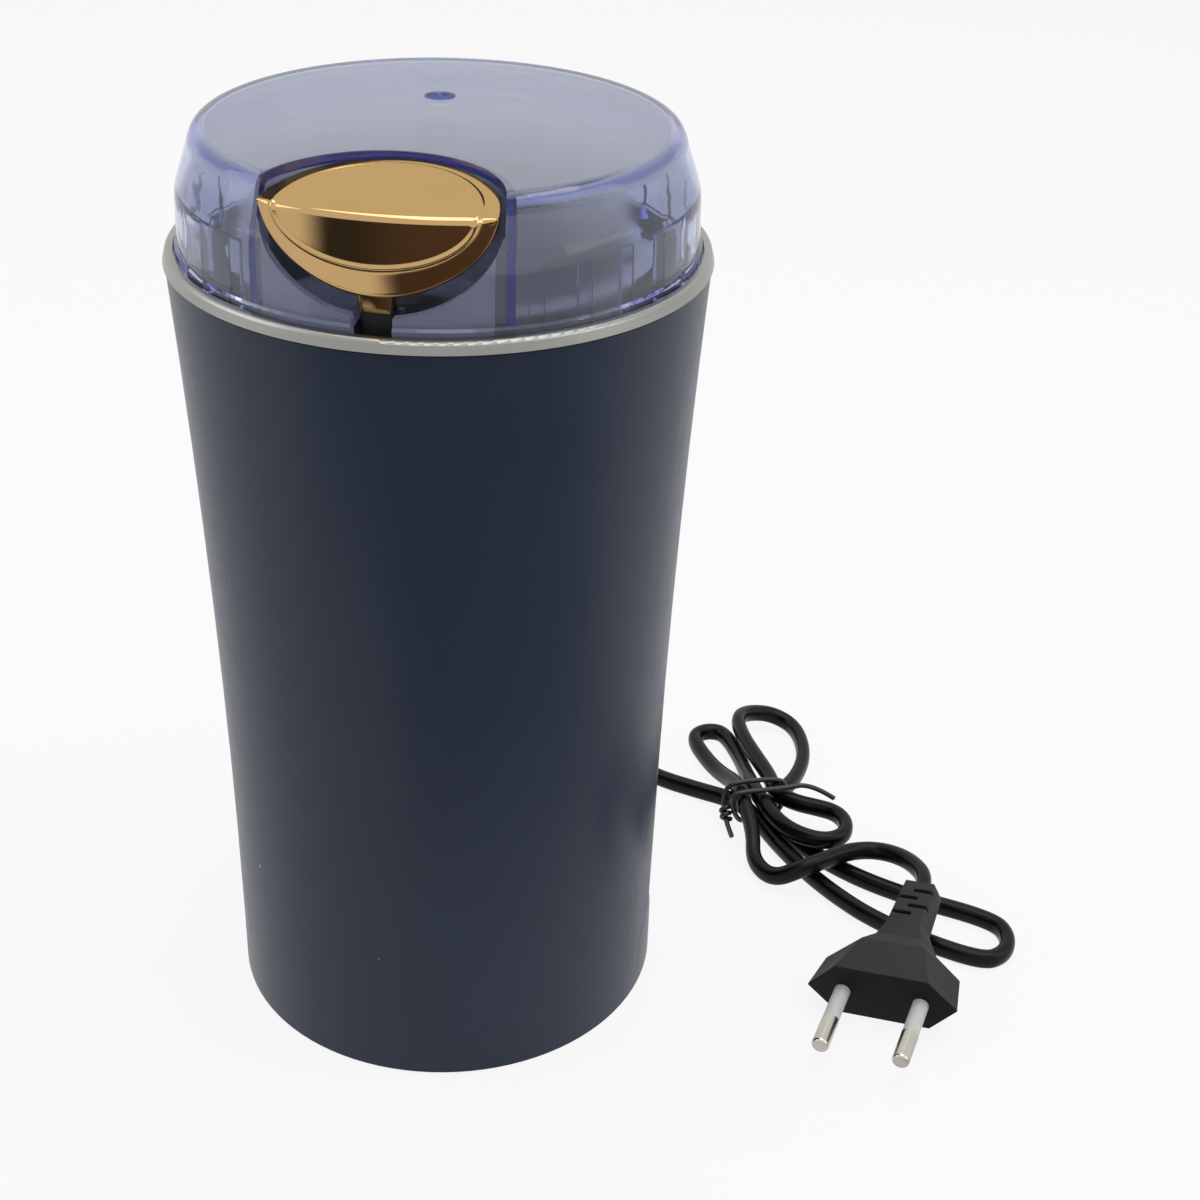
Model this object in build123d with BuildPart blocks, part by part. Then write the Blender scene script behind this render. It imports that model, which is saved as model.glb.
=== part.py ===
from build123d import *
import os
from math import copysign, cos, dist, pi, radians, sin, sqrt, tan

os.makedirs("parts", exist_ok=True)

# Electric blade grinder, in millimetres, standing on its feet at z = 0.
# The push button faces -Y, the mains cord leaves the back at +Y.

# Clearances between pieces
slip_gap = 0.3            # curved faces that slip past each other
seat_gap = 0.1            # flat faces that rest on each other
running_gap = 0.05        # shaft in its bearings, on the radius
press_gap = 0.02          # pressed fits, on the radius
cut_over = 1.0            # how far a cut runs past the face it opens

# Tapered outer body
foot_drop = 0.7           # the feet lift the body this far
base_radius = 48.4
top_radius = 54.0
waist_sag = 1.6           # how far the sides draw in at half height
under_motor = 30.0        # room for the cord's knot and the wires
shell_wall = 2.2
shell_ledge_width = 2.4   # inner ledge that carries the inner frame
shell_ledge_height = 2.2

# Trim ring round the top of the body
ring_overhang = 0.4       # ring proud of the body
ring_height = 2.8
ring_draw = 0.6           # the band leans in by this much
ring_lip = 1.5            # width of its upper edge
ring_round = 0.9
ring_spigot = 3.8         # depth that the ring reaches into the body
ring_spigot_wall = 1.2
ring_ledge = 1.5          # ledge for the lid, above the body's edge
ring_groove_height = 0.4  # shadow line between the ring and the body
ring_groove_depth = 0.9

# Clear lid
lid_slip = 0.4            # lid inside the ring
lid_bead = 0.5            # the lower edge stands out by this much
lid_bead_height = 2.6
lid_draft = 0.3           # the wall leans in up to its kink
lid_kink_height = 13.2    # above the lid's lower edge
lid_kink_round = 12.0
lid_lean = 4.9            # the shoulder leans in by this much
lid_height = 25.2
lid_top_round = 3.0
lid_inner_round = 1.5
lid_wall = 2.0
lid_top_wall = 2.2
lid_rib_count = 32        # round the inside of the wall
lid_rib_depth = 0.9
lid_rib_width = 3.0
lid_rib_height = 12.5
gate_mark_x = -3.7
gate_mark_y = 15.3
gate_mark_radius = 3.2
gate_mark_depth = 0.7

# Push button in the lid
button_half_width = 22.0
button_back_depth = 23.8  # from its corners to the back of its top
button_front_depth = 16.8 # from its top edge to the tip of its front
button_set_back = 0.6     # its front lies this far inside the lid's wall
button_sink = 1.0         # its top lies this far below the lid's top
button_wall = 1.8
button_travel = 3.0
button_gap = 0.5
panel_inset = 3.6         # raised panel on its front and top
panel_rise = 0.5
stem_width = 6.6
stem_depth = 5.6
stem_length = 3.5
chamber_wall = 1.6
chamber_floor = 1.4

# Inner frame
frame_wall = 2.0
deck_thickness = 2.5
deck_rise = 1.0           # deck above the body's upper edge
frame_floor_thickness = 2.5
frame_flange_thickness = 3.0
under_bowl = 2.3          # room for screw heads below the bowl

# Steel bowl
bowl_margin = 11.1        # deck beside the bowl, for its rim and the push pin
bowl_wall = 0.8
bowl_depth = 44.7
bowl_corner = 8.0
bowl_flange = 4.2         # width of its rim
gasket_thickness = 0.8

# Shaft, blade and bush
shaft_radius = 3.5
blade_seat_height = 4.0   # blade above the bowl's floor
blade_clear = 6.6         # between the blade's tips and the bowl
blade_width = 11.5
blade_thickness = 1.6
blade_flat = 11.0         # flat middle, each side
blade_lift = 5.5          # one wing up, the other down by a part of it
blade_drop = 1.8
blade_bore = 2.7
nut_radius = 5.2
nut_height = 4.6
bush_radius = 8.0
bush_flange_radius = 11.0
bush_flange_thickness = 1.2
bush_length = 9.6
seal_radius = 6.2
seal_height = 1.8

# Universal motor
damper_height = 6.0
damper_radius = 5.0
damper_x = 22.0
damper_y = 26.0
bracket_x = 54.0
bracket_y = 62.0
bracket_plate = 2.4
bracket_corner = 6.0
upper_space = 30.0        # stack to upper plate, for the fan
lower_space = 26.0        # stack to lower plate, for the brushes
stack_height = 26.0
stator_x = 50.0
stator_y = 58.0
stator_corner = 8.0
stator_bore = 17.5
air_gap = 0.6
window_inner = 10.2       # coil window, from the middle plane
window_outer = 19.3
window_depth = 22.5
pole_shoe = 2.0
pole_gap_half = 10.0
coil_thickness = 7.2
coil_near = 16.8          # coil from the axis, in y
coil_depth = 5.2
coil_gap = 0.4
slot_count = 12
slot_width = 2.6
slot_depth = 6.0
slot_gap = 0.12
winding_radius = 14.4
winding_overhang = 8.0
commutator_radius = 9.0
commutator_length = 11.0
commutator_base = 4.0     # above the lower plate
commutator_slit = 0.6
fan_radius = 26.0
fan_disc = 1.5
fan_height = 9.0
fan_blades = 9
fan_blade_thickness = 1.4
fan_base = 12.0           # above the stack
fan_hub_radius = 8.0
bearing_radius = 8.0
bearing_length = 10.0
bearing_proud = 1.0
bearing_cup_wall = 2.5
pillar_x = 21.0
pillar_y = 25.0
pillar_radius = 3.2
bolt_radius = 1.5
bolt_hole_gap = 0.2
bolt_head_radius = 2.8
bolt_head_height = 2.2
screw_nut_radius = 3.0
screw_nut_height = 2.2
brush_width = 5.0
brush_tall = 6.0
brush_length = 12.0
brush_level = 9.4         # brush middle above the lower plate
brush_gap = 0.15
holder_start = 11.5
holder_end = 27.0
holder_width = 10.0
holder_top = 5.4          # holder above the brush's middle
brush_spring_turns = 7
brush_spring_radius = 1.8
brush_spring_wire = 0.5
brush_cap_thickness = 1.0

# Safety switch under the button
pin_clear = 1.0           # between the pin and the bowl's rim
pin_width = 6.4
pin_depth = 3.6
pin_block = 8.1           # height of its square head
pin_stem_radius = 1.2
pin_stem_length = 12.1
pin_tail = 4.1            # stem below the spring's seat
pin_gap = 0.2
pocket_wall = 1.6
pocket_front = 0.9        # wall between the pin and the body
pocket_floor = 1.6
pin_spring_turns = 6
pin_spring_radius = 1.64
pin_spring_wire = 0.44
clip_radius = 2.3
clip_thickness = 0.6
switch_width = 19.8
switch_depth = 6.4
switch_height = 10.2
switch_pad = 2.0
lever_arm = 9.0           # hinge to pin
lever_length = 12.0
lever_width = 4.0
lever_thickness = 0.5
lever_barrel = 0.8
lever_angle = 20.0        # at rest, degrees up from level
terminal_count = 3
terminal_pitch = 6.4
terminal_width = 3.0
terminal_thickness = 0.7
terminal_length = 4.5
switch_screw_pitch = 9.5
switch_screw_radius = 1.0
switch_screw_head = 0.7

# Base
cover_thickness = 3.0
foot_radius = 5.5
foot_height = 2.7
foot_inset = 14.4         # feet's middle inside the body's foot
foot_count = 4
vent_count = 12
vent_circle = 20.0
vent_length = 13.0
vent_width = 2.6
post_count = 3
post_radius = 4.6
post_height = 16.0
post_bite = 0.8           # how far a post sinks into the body's wall
cover_screw_radius = 1.4
cover_screw_head_radius = 2.4
cover_screw_head_height = 1.6
cover_screw_length = 12.0
counterbore_depth = 1.8

# Mains cord
cord_diameter = 4.2
cord_height = 16.0        # exit above the table
relief_length = 17.0
relief_flange_radius = 6.4
relief_flange_thickness = 1.6
relief_neck_radius = 4.4
relief_big_radius = 4.9
relief_tip_radius = 3.3
wire_radius = 0.9
lower_wire_room = 4.2     # wires inside the body's wall, beside the motor
upper_wire_room = 3.2     # and below the inner frame

# Tied hank of cord, in the frame of its tie
floor_gap = 0.2           # cord above the table
tie_x = 69.0
tie_y = 62.0
tie_turn = -63.4          # the bundle runs this way, degrees from +X
layer_gap = 1.0           # between cords that lie on each other
waist_lift = 1.9          # the tie passes under the bundle
tie_wire = 1.3

# Mains plug
plug_face_at = (104.6, -12.0, 8.6)
plug_heading = -12.0      # pins, degrees from -Y towards +X
plug_dip = 3.5            # pins point down, degrees
plug_roll = 7.0
plug_lead_in = 6.6        # straight cord before the plug's neck
plug_width = 35.3
plug_thickness = 13.7
plug_flat = 22.0          # flat part of its upper edge
plug_head = 11.5
plug_back_width = 27.0    # where the head ends
plug_back_thickness = 12.6
plug_back_flat = 17.0
plug_taper = 12.0
plug_waist_width = 16.4   # half way down the hollow taper
plug_waist_thickness = 11.0
plug_waist_flat = 10.8
plug_neck_length = 17.5
plug_neck_width = 11.0
plug_neck_thickness = 9.8
plug_neck_flat = 7.2
plug_neck_narrow = 1.2    # the neck narrows by this much at the cord
neck_slot_count = 4
neck_slot_width = 1.4
neck_slot_depth = 1.6
neck_slot_pitch = 3.5
pin_spacing = 18.4
plug_pin_radius = 2.0
plug_pin_sleeve_radius = 1.9
plug_pin_sleeve = 10.0
plug_pin_tip = 9.0
plug_pin_round = 0.9

# Levels worked out from the values above, from the base up
cover_top = foot_drop + cover_thickness
lower_plate_bottom = cover_top + under_motor
lower_plate_top = lower_plate_bottom + bracket_plate
stack_bottom = lower_plate_top + lower_space
stack_top = stack_bottom + stack_height
bracket_top = stack_top + upper_space + bracket_plate
frame_floor_bottom = bracket_top + damper_height
frame_floor_top = frame_floor_bottom + frame_floor_thickness
bowl_floor = frame_floor_top + under_bowl + bowl_wall
bowl_rim = bowl_floor + bowl_depth
deck_top = bowl_rim - bowl_wall - gasket_thickness
shell_top = deck_top - deck_rise
waist_height = (foot_drop + shell_top) / 2
waist_radius = (base_radius + top_radius) / 2 - waist_sag
spigot_bottom = shell_top - ring_spigot
lid_bottom = shell_top + ring_ledge + seat_gap
lid_top = lid_bottom + lid_height
lid_kink = lid_bottom + lid_kink_height
button_top = lid_top - button_sink
chamber_floor_bottom = bowl_rim + 4 * seat_gap
chamber_floor_top = chamber_floor_bottom + chamber_floor
upper_bearing_top = bracket_top + bearing_proud
lower_bearing_top = lower_plate_top + bearing_proud
shaft_bottom = lower_bearing_top - bearing_length - bearing_proud
blade_seat = bowl_floor + blade_seat_height
cord_radius = cord_diameter / 2
pin_top = button_top - button_front_depth - stem_length - seat_gap
pin_shoulder = pin_top - pin_block
pin_tip = pin_shoulder - pin_stem_length


def shell_radius(height):
    """Outer radius of the tapered body at a height, on the arc through its three radii."""
    x1, y1, x2, y2, x3, y3 = base_radius, foot_drop, waist_radius, waist_height, top_radius, shell_top
    turn = 2 * (x1 * (y2 - y3) + x2 * (y3 - y1) + x3 * (y1 - y2))
    q1, q2, q3 = x1**2 + y1**2, x2**2 + y2**2, x3**2 + y3**2
    centre_x = (q1 * (y2 - y3) + q2 * (y3 - y1) + q3 * (y1 - y2)) / turn
    centre_y = (q1 * (x3 - x2) + q2 * (x1 - x3) + q3 * (x2 - x1)) / turn
    bow = sqrt((x1 - centre_x) ** 2 + (y1 - centre_y) ** 2 - (height - centre_y) ** 2)
    return centre_x - copysign(bow, centre_x - x2)


def inner_radius(height):
    """Inner radius of the tapered body at a height."""
    return shell_radius(height) - shell_wall


# Radii worked out from the body's taper, from the outside in
ring_radius = top_radius + ring_overhang
lip_inner = ring_radius - ring_draw - ring_lip
lid_radius = lip_inner - lid_slip
lid_wall_radius = lid_radius - lid_bead
lid_kink_radius = lid_wall_radius - lid_draft
lid_shoulder_radius = lid_radius - lid_lean
button_radius = lid_radius - button_set_back
spigot_outer = inner_radius(spigot_bottom) - slip_gap
spigot_inner = spigot_outer - ring_spigot_wall
deck_radius = spigot_inner - slip_gap
flange_top = spigot_bottom - seat_gap
flange_bottom = flange_top - frame_flange_thickness
flange_radius = inner_radius(flange_bottom) - slip_gap
ledge_top = flange_bottom - seat_gap
bowl_radius = deck_radius - bowl_margin
bowl_flange_radius = bowl_radius + bowl_flange
sleeve_inner = bowl_radius + bowl_wall + slip_gap
sleeve_outer = sleeve_inner + frame_wall
blade_reach = bowl_radius - blade_clear
pin_radius_at = bowl_flange_radius + pin_clear + pin_depth / 2
cover_radius = inner_radius(foot_drop) - slip_gap
foot_circle = base_radius - foot_inset
post_circle = inner_radius(cover_top) + post_bite - post_radius
post_bottom = cover_top + seat_gap

# Tapered body shell
with BuildPart() as body_shell:
    with BuildSketch(Plane.XZ):
        with BuildLine():
            outer = ThreePointArc(
                (base_radius, foot_drop), (waist_radius, waist_height), (top_radius, shell_top)
            )
            Line(outer @ 1, (top_radius - shell_wall, shell_top))
            inner = ThreePointArc(
                (top_radius - shell_wall, shell_top),
                (waist_radius - shell_wall, waist_height),
                (base_radius - shell_wall, foot_drop),
            )
            Line(inner @ 1, outer @ 0)
        make_face()
    revolve(axis=Axis.Z)
    with BuildSketch(Plane.XZ):
        with BuildLine():
            Polyline(
                (inner_radius(ledge_top) - shell_ledge_width, ledge_top),
                (inner_radius(ledge_top) + shell_wall / 2, ledge_top),
                (inner_radius(ledge_top) + shell_wall / 2, ledge_top - 2 * shell_ledge_height),
                (inner_radius(ledge_top) - shell_ledge_width, ledge_top - shell_ledge_height),
                close=True,
            )
        make_face()
    revolve(axis=Axis.Z)
    with BuildSketch(Plane.XY.offset(post_bottom)):
        with PolarLocations(post_circle, post_count, start_angle=30):
            Circle(post_radius)
    extrude(amount=post_height)
    with BuildSketch(Plane.XY.offset(post_bottom)):
        with PolarLocations(post_circle, post_count, start_angle=30):
            Circle(cover_screw_radius + press_gap)
    extrude(amount=cover_screw_length, mode=Mode.SUBTRACT)
    with BuildSketch(Plane((0, 0, cord_height), x_dir=(1, 0, 0), z_dir=(0, 1, 0))):
        Circle(relief_neck_radius + press_gap)
    extrude(amount=top_radius + cut_over, mode=Mode.SUBTRACT)
body_shell.part.label = "body_shell"
export_step(body_shell.part, "parts/body_shell.step")

# Trim ring: a leaning band with a rounded lip over a groove, a spigot inside the body and a ledge for the lid
with BuildPart() as trim_ring:
    with BuildSketch(Plane.XZ):
        with BuildLine():
            Polyline(
                (spigot_inner, spigot_bottom),
                (spigot_outer, spigot_bottom),
                (spigot_outer, shell_top),
                (ring_radius - ring_groove_depth, shell_top),
                (ring_radius - ring_groove_depth, shell_top + ring_groove_height),
                (ring_radius, shell_top + ring_groove_height),
                (ring_radius - ring_draw, shell_top + ring_height),
                (lip_inner, shell_top + ring_height),
                (lip_inner, shell_top + ring_ledge),
                (spigot_inner, shell_top + ring_ledge),
                close=True,
            )
        make_face()
    revolve(axis=Axis.Z)
    top_edges = trim_ring.edges().filter_by(GeomType.CIRCLE).group_by(Axis.Z)[-1]
    fillet(top_edges.sort_by(SortBy.RADIUS)[-1], radius=ring_round)
trim_ring.part.label = "trim_ring"
export_step(trim_ring.part, "parts/trim_ring.step")

# Base cover with vents, screw holes and seats for the feet
with BuildPart() as base_cover:
    with BuildSketch(Plane.XY.offset(foot_drop)):
        Circle(cover_radius)
    extrude(amount=cover_thickness)
    with BuildSketch(Plane.XY.offset(foot_drop)):
        with PolarLocations(vent_circle, vent_count):
            SlotOverall(vent_length, vent_width)
    extrude(amount=cover_thickness, mode=Mode.SUBTRACT)
    with BuildSketch(Plane.XY.offset(foot_drop)):
        with PolarLocations(foot_circle, foot_count, start_angle=45):
            Circle(foot_radius + press_gap)
    extrude(amount=foot_height - foot_drop, mode=Mode.SUBTRACT)
    with BuildSketch(Plane.XY.offset(foot_drop)):
        with PolarLocations(post_circle, post_count, start_angle=30):
            Circle(cover_screw_radius + slip_gap)
    extrude(amount=cover_thickness, mode=Mode.SUBTRACT)
    with BuildSketch(Plane.XY.offset(foot_drop)):
        with PolarLocations(post_circle, post_count, start_angle=30):
            Circle(cover_screw_head_radius + slip_gap)
    extrude(amount=counterbore_depth, mode=Mode.SUBTRACT)
base_cover.part.label = "base_cover"
export_step(base_cover.part, "parts/base_cover.step")

# Screws that hold the base cover
with BuildPart() as base_screws:
    with BuildSketch(Plane.XY.offset(foot_drop + counterbore_depth)):
        with PolarLocations(post_circle, post_count, start_angle=30):
            Circle(cover_screw_head_radius)
    extrude(amount=-cover_screw_head_height)
    with BuildSketch(Plane.XY.offset(foot_drop + counterbore_depth)):
        with PolarLocations(post_circle, post_count, start_angle=30):
            Circle(cover_screw_radius)
    extrude(amount=cover_screw_length)
base_screws.part.label = "base_screws"
export_step(base_screws.part, "parts/base_screws.step")

# Rubber feet
with BuildPart() as rubber_feet:
    with BuildSketch():
        with PolarLocations(foot_circle, foot_count, start_angle=45):
            Circle(foot_radius)
    extrude(amount=foot_height)
    fillet(rubber_feet.edges().group_by(Axis.Z)[0], radius=foot_drop / 3)
rubber_feet.part.label = "rubber_feet"
export_step(rubber_feet.part, "parts/rubber_feet.step")

# Inner frame: deck round the bowl, sleeve, motor floor, switch pad and pin pocket
pocket_floor_top = pin_tip + pin_tail
pocket_bottom = pocket_floor_top - pocket_floor
pad_front = sleeve_outer + slip_gap
lever_rise = (lever_arm + pin_stem_radius) * tan(radians(lever_angle))
lever_hinge = pin_tip - seat_gap - lever_thickness / 2 / cos(radians(lever_angle)) - lever_rise
switch_top = lever_hinge - lever_barrel - seat_gap
switch_bottom = switch_top - switch_height
with BuildPart() as inner_frame:
    with BuildSketch(Plane.XZ):
        with BuildLine():
            Polyline(
                (bush_radius + slip_gap, frame_floor_bottom),
                (sleeve_outer, frame_floor_bottom),
                (sleeve_outer, deck_top - deck_thickness),
                (deck_radius - frame_wall, deck_top - deck_thickness),
                (deck_radius - frame_wall, flange_bottom),
                (flange_radius, flange_bottom),
                (flange_radius, flange_top),
                (deck_radius, flange_top),
                (deck_radius, deck_top),
                (sleeve_inner, deck_top),
                (sleeve_inner, frame_floor_top),
                (bush_radius + slip_gap, frame_floor_top),
                close=True,
            )
        make_face()
    revolve(axis=Axis.Z)
    pocket_width = pin_width + 2 * pin_gap
    pocket_depth = pin_depth + 2 * pin_gap
    boss_front = pin_radius_at + pocket_depth / 2 + pocket_front
    with BuildSketch(Plane.XY.offset(pocket_bottom)):
        with Locations((0, -(sleeve_outer - frame_wall / 2 + boss_front) / 2)):
            Rectangle(pocket_width + 2 * pocket_wall, boss_front - sleeve_outer + frame_wall / 2)
    extrude(amount=deck_top - pocket_bottom - deck_thickness / 2)
    with BuildSketch(Plane.XY.offset(pocket_floor_top)):
        with Locations((0, -pin_radius_at)):
            Rectangle(pocket_width, pocket_depth)
    extrude(amount=deck_top - pocket_floor_top, mode=Mode.SUBTRACT)
    with BuildSketch(Plane.XY.offset(pocket_bottom)):
        with Locations((0, -pin_radius_at)):
            Circle(pin_stem_radius + pin_gap)
    extrude(amount=pocket_floor, mode=Mode.SUBTRACT)
    with BuildSketch(Plane.XY.offset(switch_bottom)):
        with Locations((0, -pad_front + switch_pad / 2)):
            Rectangle(switch_width, switch_pad)
    extrude(amount=switch_height)
    with BuildSketch(Plane.XZ.offset(pad_front)):
        with Locations((0, (switch_bottom + switch_top) / 2)):
            with GridLocations(switch_screw_pitch, 0, 2, 1):
                Circle(switch_screw_radius + press_gap)
    extrude(amount=-switch_pad, mode=Mode.SUBTRACT)
    with BuildSketch(Plane.XY.offset(frame_floor_bottom)):
        with Locations((damper_x, 0), (-damper_x, 0), (0, damper_y), (0, -damper_y)):
            Circle(bolt_radius + bolt_hole_gap)
    extrude(amount=frame_floor_thickness, mode=Mode.SUBTRACT)
inner_frame.part.label = "inner_frame"
export_step(inner_frame.part, "parts/inner_frame.step")

# Gasket under the bowl's rim
with BuildPart() as bowl_gasket:
    with BuildSketch(Plane.XY.offset(deck_top)):
        Circle(bowl_flange_radius - slip_gap)
        Circle(sleeve_inner, mode=Mode.SUBTRACT)
    extrude(amount=gasket_thickness)
bowl_gasket.part.label = "bowl_gasket"
export_step(bowl_gasket.part, "parts/bowl_gasket.step")

# Drawn steel bowl
bowl_bend = sqrt(0.5)
with BuildPart() as grinding_bowl:
    with BuildSketch(Plane.XZ):
        with BuildLine():
            Line((bush_radius + slip_gap, bowl_floor), (bowl_radius - bowl_corner, bowl_floor))
            ThreePointArc(
                (bowl_radius - bowl_corner, bowl_floor),
                (
                    bowl_radius - bowl_corner + bowl_corner * bowl_bend,
                    bowl_floor + bowl_corner - bowl_corner * bowl_bend,
                ),
                (bowl_radius, bowl_floor + bowl_corner),
            )
            Polyline(
                (bowl_radius, bowl_floor + bowl_corner),
                (bowl_radius, bowl_rim),
                (bowl_flange_radius, bowl_rim),
                (bowl_flange_radius, bowl_rim - bowl_wall),
                (bowl_radius + bowl_wall, bowl_rim - bowl_wall),
                (bowl_radius + bowl_wall, bowl_floor + bowl_corner),
            )
            ThreePointArc(
                (bowl_radius + bowl_wall, bowl_floor + bowl_corner),
                (
                    bowl_radius - bowl_corner + (bowl_corner + bowl_wall) * bowl_bend,
                    bowl_floor + bowl_corner - (bowl_corner + bowl_wall) * bowl_bend,
                ),
                (bowl_radius - bowl_corner, bowl_floor - bowl_wall),
            )
            Polyline(
                (bowl_radius - bowl_corner, bowl_floor - bowl_wall),
                (bush_radius + slip_gap, bowl_floor - bowl_wall),
                (bush_radius + slip_gap, bowl_floor),
            )
        make_face()
    revolve(axis=Axis.Z)
grinding_bowl.part.label = "grinding_bowl"
export_step(grinding_bowl.part, "parts/grinding_bowl.step")

# Bush that clamps the bowl to the frame and guides the shaft
bush_top = bowl_floor + seat_gap + bush_flange_thickness
with BuildPart() as bowl_bush:
    with BuildSketch(Plane.XY.offset(bowl_floor + seat_gap)):
        Circle(bush_flange_radius)
    extrude(amount=bush_flange_thickness)
    with BuildSketch(Plane.XY.offset(bush_top)):
        Circle(bush_radius)
    extrude(amount=-bush_length)
    with BuildSketch(Plane.XY.offset(bush_top)):
        Circle(shaft_radius + running_gap)
    extrude(amount=-bush_length, mode=Mode.SUBTRACT)
bowl_bush.part.label = "bowl_bush"
export_step(bowl_bush.part, "parts/bowl_bush.step")

# Rubber seal on the bush
with BuildPart() as shaft_seal:
    with BuildSketch(Plane.XY.offset(bush_top)):
        Circle(seal_radius)
        Circle(shaft_radius + running_gap, mode=Mode.SUBTRACT)
    extrude(amount=seal_height)
    fillet(shaft_seal.edges().group_by(Axis.Z)[-1].sort_by(SortBy.RADIUS)[-1], radius=seal_height / 3)
shaft_seal.part.label = "shaft_seal"
export_step(shaft_seal.part, "parts/shaft_seal.step")

# Motor shaft with a shoulder and a thinner end for the blade
with BuildPart() as motor_shaft:
    with BuildSketch(Plane.XY.offset(shaft_bottom)):
        Circle(shaft_radius)
    extrude(amount=blade_seat - shaft_bottom)
    with BuildSketch(Plane.XY.offset(blade_seat)):
        Circle(blade_bore - press_gap)
    extrude(amount=blade_thickness + nut_height - nut_height / 4)
motor_shaft.part.label = "motor_shaft"
export_step(motor_shaft.part, "parts/motor_shaft.step")

# Two-winged blade, one wing up and one down
with BuildPart() as blade:
    with BuildSketch(Plane.XZ.offset(-blade_width / 2)):
        with BuildLine():
            Polyline(
                (-blade_reach, blade_seat - blade_drop),
                (-blade_flat, blade_seat),
                (blade_flat, blade_seat),
                (blade_reach, blade_seat + blade_lift),
                (blade_reach, blade_seat + blade_lift + blade_thickness),
                (blade_flat, blade_seat + blade_thickness),
                (-blade_flat, blade_seat + blade_thickness),
                (-blade_reach, blade_seat - blade_drop + blade_thickness),
                close=True,
            )
        make_face()
    extrude(amount=blade_width)
    with BuildSketch(Plane.XY.offset(blade_seat - blade_lift)):
        Circle(blade_reach)
    extrude(amount=3 * blade_lift + blade_thickness, mode=Mode.INTERSECT)
    with BuildSketch(Plane.XY.offset(blade_seat)):
        Circle(blade_bore)
    extrude(amount=blade_thickness, mode=Mode.SUBTRACT)
blade.part.label = "blade"
export_step(blade.part, "parts/blade.step")

# Domed nut on the blade
with BuildPart() as blade_nut:
    with BuildSketch(Plane.XY.offset(blade_seat + blade_thickness)):
        RegularPolygon(nut_radius, 6)
    extrude(amount=nut_height)
    fillet(blade_nut.faces().sort_by(Axis.Z)[-1].edges(), radius=nut_height / 4)
    with BuildSketch(Plane.XY.offset(blade_seat + blade_thickness)):
        Circle(blade_bore)
    extrude(amount=nut_height - nut_height / 4 + press_gap, mode=Mode.SUBTRACT)
blade_nut.part.label = "blade_nut"
export_step(blade_nut.part, "parts/blade_nut.step")

# Motor brackets: a plate with four pillars and a cup for its bearing
pillar_spots = [(pillar_x, pillar_y), (-pillar_x, pillar_y), (-pillar_x, -pillar_y), (pillar_x, -pillar_y)]
damper_spots = [(damper_x, 0), (-damper_x, 0), (0, damper_y), (0, -damper_y)]
with BuildPart() as upper_bracket:
    with BuildSketch(Plane.XY.offset(bracket_top)):
        RectangleRounded(bracket_x, bracket_y, bracket_corner)
    extrude(amount=-bracket_plate)
    with BuildSketch(Plane.XY.offset(stack_top)):
        with Locations(*pillar_spots):
            Circle(pillar_radius)
    extrude(amount=upper_space)
    with BuildSketch(Plane.XY.offset(bracket_top)):
        Circle(bearing_radius + bearing_cup_wall)
    extrude(amount=bearing_proud - bearing_length)
    with BuildSketch(Plane.XY.offset(bracket_top)):
        Circle(bearing_radius + press_gap)
    extrude(amount=-bearing_length, mode=Mode.SUBTRACT)
    with BuildSketch(Plane.XY.offset(stack_top)):
        with Locations(*pillar_spots):
            Circle(bolt_radius + bolt_hole_gap)
    extrude(amount=upper_space + bracket_plate, mode=Mode.SUBTRACT)
    with BuildSketch(Plane.XY.offset(bracket_top)):
        with Locations(*damper_spots):
            Circle(bolt_radius + bolt_hole_gap)
    extrude(amount=-bracket_plate, mode=Mode.SUBTRACT)
upper_bracket.part.label = "upper_bracket"
export_step(upper_bracket.part, "parts/upper_bracket.step")

with BuildPart() as lower_bracket:
    with BuildSketch(Plane.XY.offset(lower_plate_bottom)):
        RectangleRounded(bracket_x, bracket_y, bracket_corner)
    extrude(amount=bracket_plate)
    with BuildSketch(Plane.XY.offset(stack_bottom)):
        with Locations(*pillar_spots):
            Circle(pillar_radius)
    extrude(amount=-lower_space)
    with BuildSketch(Plane.XY.offset(lower_plate_top)):
        Circle(bearing_radius + bearing_cup_wall)
    extrude(amount=bearing_proud - bearing_length)
    with BuildSketch(Plane.XY.offset(lower_plate_top)):
        Circle(bearing_radius + press_gap)
    extrude(amount=-bearing_length, mode=Mode.SUBTRACT)
    with BuildSketch(Plane.XY.offset(stack_bottom)):
        with Locations(*pillar_spots):
            Circle(bolt_radius + bolt_hole_gap)
    extrude(amount=-lower_space - bracket_plate, mode=Mode.SUBTRACT)
lower_bracket.part.label = "lower_bracket"
export_step(lower_bracket.part, "parts/lower_bracket.step")

# Sintered bearings pressed into the brackets
with BuildPart() as upper_bearing:
    with BuildSketch(Plane.XY.offset(upper_bearing_top)):
        Circle(bearing_radius)
        Circle(shaft_radius + running_gap, mode=Mode.SUBTRACT)
    extrude(amount=-bearing_length)
upper_bearing.part.label = "upper_bearing"
export_step(upper_bearing.part, "parts/upper_bearing.step")

with BuildPart() as lower_bearing:
    with BuildSketch(Plane.XY.offset(lower_bearing_top)):
        Circle(bearing_radius)
        Circle(shaft_radius + running_gap, mode=Mode.SUBTRACT)
    extrude(amount=-bearing_length)
lower_bearing.part.label = "lower_bearing"
export_step(lower_bearing.part, "parts/lower_bearing.step")

# Rubber dampers between the frame and the motor, with their screws and nuts
with BuildPart() as motor_dampers:
    with BuildSketch(Plane.XY.offset(bracket_top)):
        with Locations(*damper_spots):
            Circle(damper_radius)
        with Locations(*damper_spots):
            Circle(bolt_radius + bolt_hole_gap, mode=Mode.SUBTRACT)
    extrude(amount=damper_height)
motor_dampers.part.label = "motor_dampers"
export_step(motor_dampers.part, "parts/motor_dampers.step")

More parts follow.
